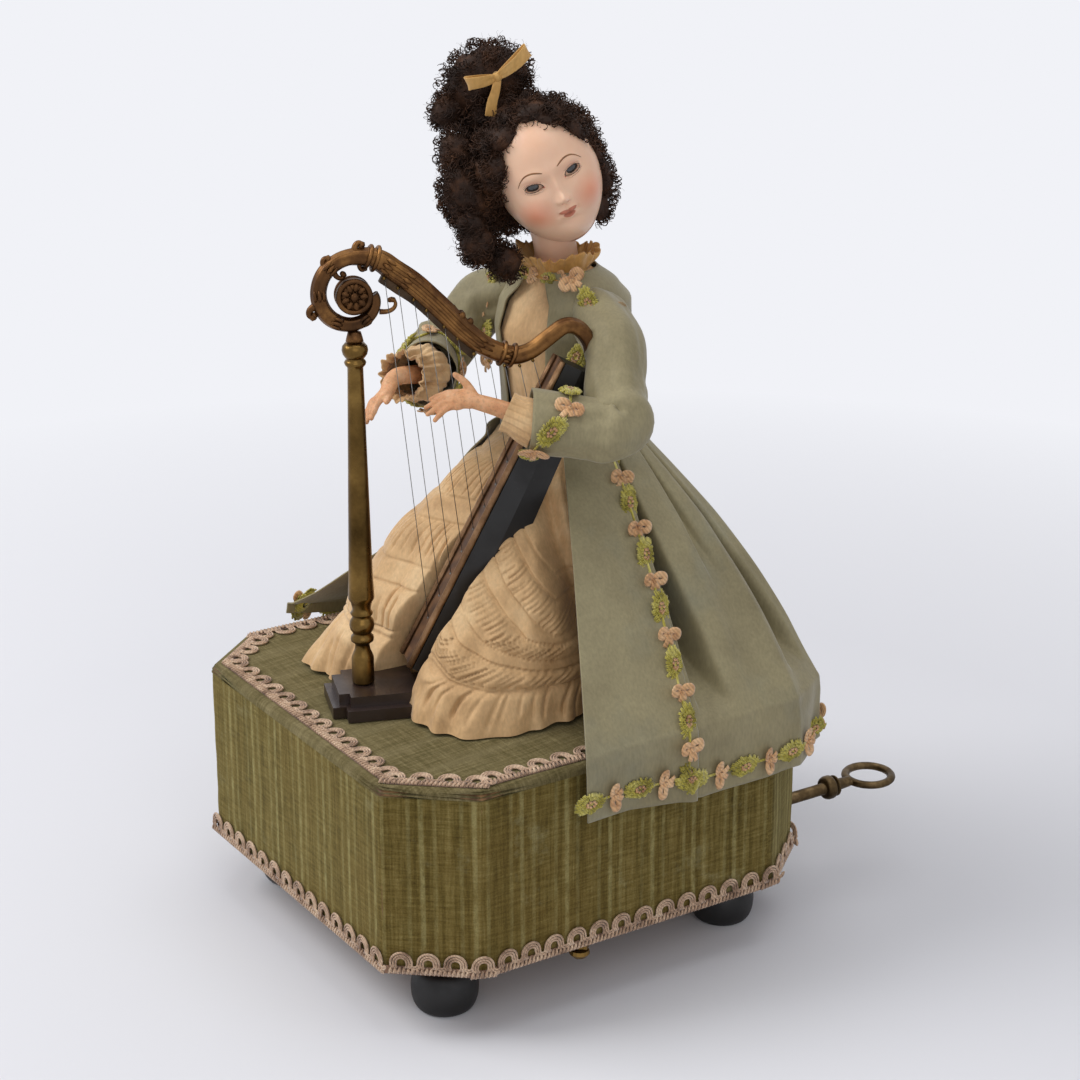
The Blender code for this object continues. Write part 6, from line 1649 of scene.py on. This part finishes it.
def make_hair(paint):
    dice = random.Random(23)
    bulk = Cloud()
    for number, (middle, halves) in enumerate(HAIR_MASSES):
        rings, sides = 26, 36
        verts = [Vector((0, 0, 1))]
        for i in range(1, rings):
            a = math.pi * i / rings
            verts += [Vector((math.sin(a) * math.cos(math.tau * k / sides), math.sin(a) * math.sin(math.tau * k / sides),
                              math.cos(a))) for k in range(sides)]
        verts.append(Vector((0, 0, -1)))
        spots = []
        for v in verts:
            p = Vector(middle) + Vector([v[i] * halves[i] for i in range(3)]) * (
                0.80 + 0.10 * noise.noise(v * 3.1 + Vector((number, 0, 0))) + 0.05 * noise.noise(v * 9 + Vector((0, number, 0))))
            if over_face(p):
                p = p.lerp(Vector(middle), 0.25)
            spots.append(head_place(p, HEAD_TURN))
        faces = [(0, 1 + k, 1 + (k + 1) % sides) for k in range(sides)] + grid_faces(rings - 1, sides, True, 1)
        end = len(spots) - 1
        faces += [(end, end - sides + (k + 1) % sides, end - sides + k) for k in range(sides)]
        bulk.add(spots, faces)
    made = bulk.piece("hair_mass", "head", paint, "hair")
    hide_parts("wig")
    curls, wisps = Cloud(), Cloud()
    areas = [(h[0] * h[1] + h[1] * h[2] + h[0] * h[2]) for m, h in HAIR_MASSES]
    total = sum(areas)
    for (middle, halves), area in zip(HAIR_MASSES, areas):
        for k in range(int(5600 * area / total)):
            v = Vector((dice.gauss(0, 1), dice.gauss(0, 1), dice.gauss(0, 1))).normalized()
            p = Vector(middle) + Vector([v[i] * halves[i] for i in range(3)]) * dice.uniform(0.82, 1.02)
            if over_face(p) or hair_share(p, 0.9) < 0.75:
                continue
            out = Vector([v[i] / halves[i] for i in range(3)]).normalized()
            run = out.cross(Vector((dice.gauss(0, 0.5), dice.gauss(0, 0.5), 1.0))).cross(out)
            run = (run + out * dice.uniform(-0.25, 0.5)).normalized() * -1
            a, b = frames([p, p + run])[0]
            radius, turns = dice.uniform(1.1, 2.3), dice.uniform(1.2, 2.6)
            length = dice.uniform(3.5, 8.0)
            phase, hand = dice.uniform(0, math.tau), dice.choice((-1, 1))
            count = int(turns * 9)
            path = []
            for i in range(count):
                t = i / (count - 1)
                angle = phase + hand * math.tau * turns * t
                wide = radius * (0.5 + 0.5 * math.sin(math.pi * (0.15 + 0.75 * t)))
                q = p + run * length * (t - 0.4) + a * wide * math.cos(angle) + b * wide * math.sin(angle)
                path.append(head_place(q, HEAD_TURN))
            wire = dice.uniform(0.24, 0.42) * MM
            curls.tube(path, [wire * (0.35 + 0.65 * math.sin(math.pi * (0.1 + 0.8 * i / (count - 1)))) for i in range(count)],
                       4, flat=0.6)
        for k in range(int(2600 * area / total)):
            v = Vector((dice.gauss(0, 1), dice.gauss(0, 1), dice.gauss(0, 1))).normalized()
            p = Vector(middle) + Vector([v[i] * halves[i] for i in range(3)]) * 0.97
            if over_face(p) or hair_share(p, 0.9) < 0.8:
                continue
            out = Vector([v[i] / halves[i] for i in range(3)]).normalized()
            lean = Vector((dice.gauss(0, 1), dice.gauss(0, 1), dice.gauss(0, 1))).normalized()
            run = (out + lean * 0.8).normalized()
            reach = dice.uniform(2.0, 5.5)
            side, up = frames([p, p + run])[0]
            bend = dice.uniform(0.6, 1.6)
            phase = dice.uniform(0, math.tau)
            path = []
            for i in range(8):
                t = i / 7
                q = p + run * reach * t + side * bend * math.cos(phase + t * 7) * t + up * bend * math.sin(phase + t * 7) * t
                path.append(q)
            if any(over_face(q) for q in path):
                continue
            wisps.tube([head_place(q, HEAD_TURN) for q in path], [(0.085 - 0.05 * i / 7) * MM for i in range(8)], 3)
    made = curls.piece("hair_curls", "head", paint, "hair")
    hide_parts("wig")
    wisps.piece("hair_wisps", "head", paint, "hair")


def make_bow():
    silk_ribbon = silk("gold_ribbon", srgb(176, 126, 58), srgb(214, 168, 98), srgb(236, 200, 140), roughness=0.5)
    at = Vector((0.4, 8.8, 57))
    loops = (((0.6, -2, 0), (6, -4.4, 1.2), (13, -4.4, 2.6), (19, -2.2, 4.2), (20, 0.6, 4.4), (14, 1.6, 2.6), (6, 0.4, 0.8),
              (0.6, -1, 0)),
             ((-0.6, -2, 0), (-5, -4.6, 1.4), (-10.5, -4.6, 3), (-14.5, -2.2, 4), (-15, 0.6, 3.8), (-10, 1.6, 2.2),
              (-4, 0.4, 0.6), (-0.6, -1, 0)))

    made = Cloud()
    for loop in loops:
        points = spline(loop, 5)
        verts = []
        for i, p in enumerate(points):
            along = (points[min(i + 1, len(points) - 1)] - points[max(i - 1, 0)]).normalized()
            width = 4.0 * (0.42 + 0.58 * math.sin(math.pi * i / (len(points) - 1)) ** 0.7)
            for j in range(7):
                s = 2 * j / 6 - 1
                pinch = 0.35 * math.cos(s * 7) * (1 - math.sin(math.pi * i / (len(points) - 1)))
                across = Vector((0, -0.25, 1)) - along * Vector((0, -0.25, 1)).dot(along)
                normal = along.cross(across.normalized())
                verts.append(head_place(at + p + across.normalized() * s * width + normal * pinch, HEAD_TURN))
        made.add(verts, grid_faces(len(points), 7))
    tail_path = spline(((0, -2, -0.5), (-4, -3.6, -5.5), (-8.5, -4.6, -10), (-12.5, -4.8, -16)), 5)
    verts = []
    for i, p in enumerate(tail_path):
        along = (tail_path[min(i + 1, len(tail_path) - 1)] - tail_path[max(i - 1, 0)]).normalized()
        across = along.cross(Vector((0.1, -1, 0.15))).normalized()
        for j in range(5):
            s = 2 * j / 4 - 1
            verts.append(head_place(at + p + across * s * (2.0 + 1.3 * i / len(tail_path)), HEAD_TURN))
    made.add(verts, grid_faces(len(tail_path), 5))
    bow = made.piece("hair_ribbon", "head", silk_ribbon, "ribbon")
    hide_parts("hair_bow")
    thicken(bow, 0.35, 0)
    soften(bow, 1)
    cut_sheet(bow)
    knot = Cloud()
    knot.ball(head_place(at + Vector((0, -1.4, 0)), HEAD_TURN), (2.6 * MM, 2.3 * MM, 2.9 * MM), HEAD_TURN, 10, 14)
    made = knot.piece("hair_ribbon_knot", "head", silk_ribbon, "ribbon")
    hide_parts("hair_bow")


# Everything together

def paint_nodes(paint, *names):
    for name in names:
        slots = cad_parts[name].material_slots
        for slot in slots:
            slot.material = paint


def bright_to_camera(paint, seen_tone, strength):
    """Adds a glow that only the camera and reflections see, so a backdrop stays pale and lights nothing."""
    nodes, links = paint.nodes, paint.links
    rays = nodes.new("ShaderNodeLightPath")
    glow = nodes.new("ShaderNodeEmission")
    glow.inputs["Color"].default_value = (*seen_tone, 1)
    glow.inputs["Strength"].default_value = strength
    seen = paint.maths("MAXIMUM", rays.outputs["Is Camera Ray"],
                       paint.maths("MAXIMUM", rays.outputs["Is Glossy Ray"], rays.outputs["Is Transmission Ray"]))
    far = paint.node("VectorMath", operation="LENGTH")
    links.new(paint.node("NewGeometry").outputs["Position"], far.inputs[0])
    away = paint.maths("MULTIPLY", paint.ramp(far.outputs["Value"], (0.42, 0), (1.0, 1)), seen)
    blend = nodes.new("ShaderNodeMixShader")
    links.new(away, blend.inputs[0])
    links.new(paint.shader.outputs[0], blend.inputs[1])
    links.new(glow.outputs[0], blend.inputs[2])
    links.new(blend.outputs[0], nodes["Material Output"].inputs["Surface"])


def make_stage():
    floor_paint = Paint("stage_floor", roughness=0.9, specular=0.1)
    floor_paint.set(**{"Base Color": (*srgb(224, 224, 228), 1)})
    bright_to_camera(floor_paint, srgb(241, 242, 247), 1.0)
    floor = build_stage_floor(floor_paint.material)
    lamps = (("key_lamp", (-0.9, -1.5, 1.9), 1.3, 34), ("side_lamp", (1.9, -0.9, 1.4), 1.6, 9),
             ("top_lamp", (0.1, 0.3, 2.3), 1.6, 12))
    for name, spot, size, power in lamps:
        data = bpy.data.lights.new(name, "AREA")
        data.size = size
        data.energy = power
        lamp = bpy.data.objects.new(name, data)
        lamp.location = spot
        aim = Vector((0, 0, 0.22)) - Vector(spot)
        lamp.rotation_mode = "QUATERNION"
        lamp.rotation_quaternion = aim.to_track_quat("-Z", "Y")
        bpy.context.collection.objects.link(lamp)
    world = bpy.data.worlds.new("studio")
    bpy.context.scene.world = world
    world.use_nodes = True
    nodes, links = world.node_tree.nodes, world.node_tree.links
    shade = nodes["Background"]
    shade.inputs["Color"].default_value = (*srgb(241, 242, 247), 1)
    shade.inputs["Strength"].default_value = 0.5
    seen = nodes.new("ShaderNodeBackground")
    seen.inputs["Color"].default_value = (*srgb(241, 242, 247), 1)
    seen.inputs["Strength"].default_value = 1.0
    rays = nodes.new("ShaderNodeLightPath")
    first = nodes.new("ShaderNodeMath")
    first.operation = "MAXIMUM"
    links.new(rays.outputs["Is Camera Ray"], first.inputs[0])
    links.new(rays.outputs["Is Glossy Ray"], first.inputs[1])
    either = nodes.new("ShaderNodeMath")
    either.operation = "MAXIMUM"
    links.new(first.outputs[0], either.inputs[0])
    links.new(rays.outputs["Is Transmission Ray"], either.inputs[1])
    mixed = nodes.new("ShaderNodeMixShader")
    links.new(either.outputs[0], mixed.inputs[0])
    links.new(shade.outputs[0], mixed.inputs[1])
    links.new(seen.outputs[0], mixed.inputs[2])
    links.new(mixed.outputs[0], nodes["World Output"].inputs["Surface"])


def build_stage_floor(paint):
    """A pale floor that curves up far behind the object."""
    mesh = bpy.data.meshes.new("stage_floor")
    profile = [(-6, 0), (4, 0), (4.6, 0.12), (5.1, 0.5), (5.4, 1.1), (5.5, 2), (5.5, 6)]
    verts, faces = [], []
    back = -Vector(CAMERA_BACK)
    ahead = Vector((back.x, back.y, 0)).normalized()
    side = Vector((-ahead.y, ahead.x, 0))
    for along, z in profile:
        for across in (-7, 7):
            verts.append(tuple(ahead * along + side * across + Vector((0, 0, z))))
    for i in range(len(profile) - 1):
        faces.append((2 * i, 2 * i + 1, 2 * i + 3, 2 * i + 2))
    mesh.from_pydata(verts, [], faces)
    mesh.polygons.foreach_set("use_smooth", [True] * len(mesh.polygons))
    floor = bpy.data.objects.new("stage_floor", mesh)
    bpy.context.collection.objects.link(floor)
    mesh.materials.append(paint)
    return floor


def make_camera():
    data = bpy.data.cameras.new("camera")
    data.lens = LENS
    data.sensor_width = 36
    data.sensor_fit = "HORIZONTAL"
    data.clip_end = 50
    camera = bpy.data.objects.new("camera", data)
    camera.location = CAMERA_AT
    camera.rotation_mode = "QUATERNION"
    camera.rotation_quaternion = (-Vector(CAMERA_BACK)).to_track_quat("-Z", "Y")
    bpy.context.collection.objects.link(camera)
    bpy.context.scene.camera = camera
    bpy.context.scene.view_settings.view_transform = "Standard"


make_camera()
make_stage()
WOOD = sawn_wood("sawn_wood", srgb(96, 66, 38), srgb(156, 116, 72))
BLACK = lacquer("black_polish", srgb(14, 12, 11), 0.5, 0.06)
BRASS = metal("aged_brass", srgb(62, 46, 22), srgb(104, 80, 42), srgb(146, 116, 64), 0.3, 1.0, 22.0)
BRONZE = metal("dark_bronze", srgb(48, 38, 26), srgb(84, 68, 46), srgb(124, 104, 74), 0.42)
STEEL = metal("plain_steel", srgb(88, 86, 82), srgb(130, 128, 124), srgb(166, 164, 160), 0.35)
GILT = metal("bronze_gilt", srgb(50, 31, 16), srgb(92, 61, 32), srgb(148, 106, 58), 0.36, 0.85, 34.0, 0.4)
BRAID = braid_paint("gimp_cord", srgb(128, 98, 76), srgb(190, 158, 130), srgb(220, 192, 162))
TAPE = braid_paint("gimp_tape", srgb(92, 66, 50), srgb(140, 106, 84), srgb(168, 134, 108))
make_velvet(worn_velvet("velvet_sides_cloth", True), worn_velvet("velvet_top_cloth", False))
make_gimp(BRAID, TAPE)
paint_nodes(WOOD, "case_walls", "bottom_board", "case_top_board", "stool")
make_feet(BLACK)
make_key(BRONZE)
make_column(BRASS)
PINS = make_neck(GILT, metal("pin_plate", srgb(36, 26, 16), srgb(58, 42, 26), srgb(86, 64, 40), 0.5, 0.6), BRASS)
make_board(sawn_wood("board_wood", srgb(70, 44, 24), srgb(112, 76, 44)),
           metal("rail_bronze", srgb(78, 54, 34), srgb(124, 92, 62), srgb(160, 126, 92), 0.4, 0.7), STEEL, PINS)
ease_edges("harp_plate", 1.2)
ease_edges("harp_soundbox", 1.6, 4, 20)
paint_nodes(lacquer("harp_foot_polish", srgb(40, 26, 20), 0.35, 0.3), "harp_plate")
paint_nodes(BLACK, "harp_soundbox")
paint_nodes(STEEL, "winding_arbor")
paint_nodes(BRASS, "stop_lever")
COAT = silk("coat_silk_cloth", srgb(128, 118, 88), srgb(143, 133, 101), srgb(156, 146, 112), shade=srgb(126, 128, 112))
LINING = silk("coat_lining", srgb(96, 90, 70), srgb(122, 116, 92), srgb(146, 140, 112))
CREAM = silk("ecru_silk", srgb(172, 134, 90), srgb(212, 174, 126), srgb(228, 197, 151))
ORGANZA = silk("collar_organza", srgb(160, 112, 52), srgb(200, 150, 84), srgb(224, 184, 122), roughness=0.5)
GREEN = braid_paint("green_trim", srgb(136, 124, 38), srgb(184, 172, 72), srgb(210, 200, 120))
TAN = braid_paint("tan_ribbon", srgb(168, 120, 80), srgb(212, 166, 118), srgb(228, 190, 146))
PULP = paper_pulp()
SHOE = silk("ochre_shoe", srgb(176, 116, 30), srgb(208, 150, 48), srgb(228, 178, 84), roughness=0.4)
HAND = tinted_hand()
paint_nodes(BRASS, "plate_front", "plate_back", "spring_barrel", "cam_arbor", "third_wheel", "fly", "music_cylinder",
            "comb_block")
paint_nodes(STEEL, "comb", "click", "left_lever", "nod_lever", "right_lever", "left_rod", "nod_rod", "right_rod",
            "turn_rod", "neck_rocker")
paint_nodes(PULP, "torso", "left_leg", "right_leg", "left_arm", "right_arm")
paint_nodes(SHOE, "left_shoe", "right_shoe")
for side in ("left", "right"):
    soften(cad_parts[f"{side}_shoe"], 2)
make_hand("left", Vector((50, -15, 300)), (41, -27, 306), (32, -41, 311), (((24, -47, 313), (18.5, -54, 309.5)), ((25, -49, 311), (20, -58, 306)),
          ((27, -50, 309), (23.5, -59, 303.5)), ((29, -50, 307), (27.5, -57, 301))), ((29, -39, 318), (26, -44, 323)), HAND)
make_hand("right", Vector((-31, -30, 307)), (-19, -53, 312), (-13, -62, 307), (((-9, -69, 304), (-7, -75, 296)), ((-12, -70, 303), (-9.5, -76.5, 293.5)),
          ((-15, -70, 302), (-13, -76, 293)), ((-17, -68, 301), (-16, -73, 294))), ((-9, -63, 306), (-5, -67, 304)), HAND)
make_skirt(CREAM)
make_coat(COAT, LINING, GREEN, TAN)
make_bodice(COAT, CREAM, ORGANZA, GREEN, TAN)
make_sleeve("left", 1, COAT, CREAM, GREEN, TAN)
make_sleeve("right", -1, COAT, CREAM, GREEN, TAN)
make_head(bisque(), None)
make_eyes()
make_hair(hair_paint())
make_bow()
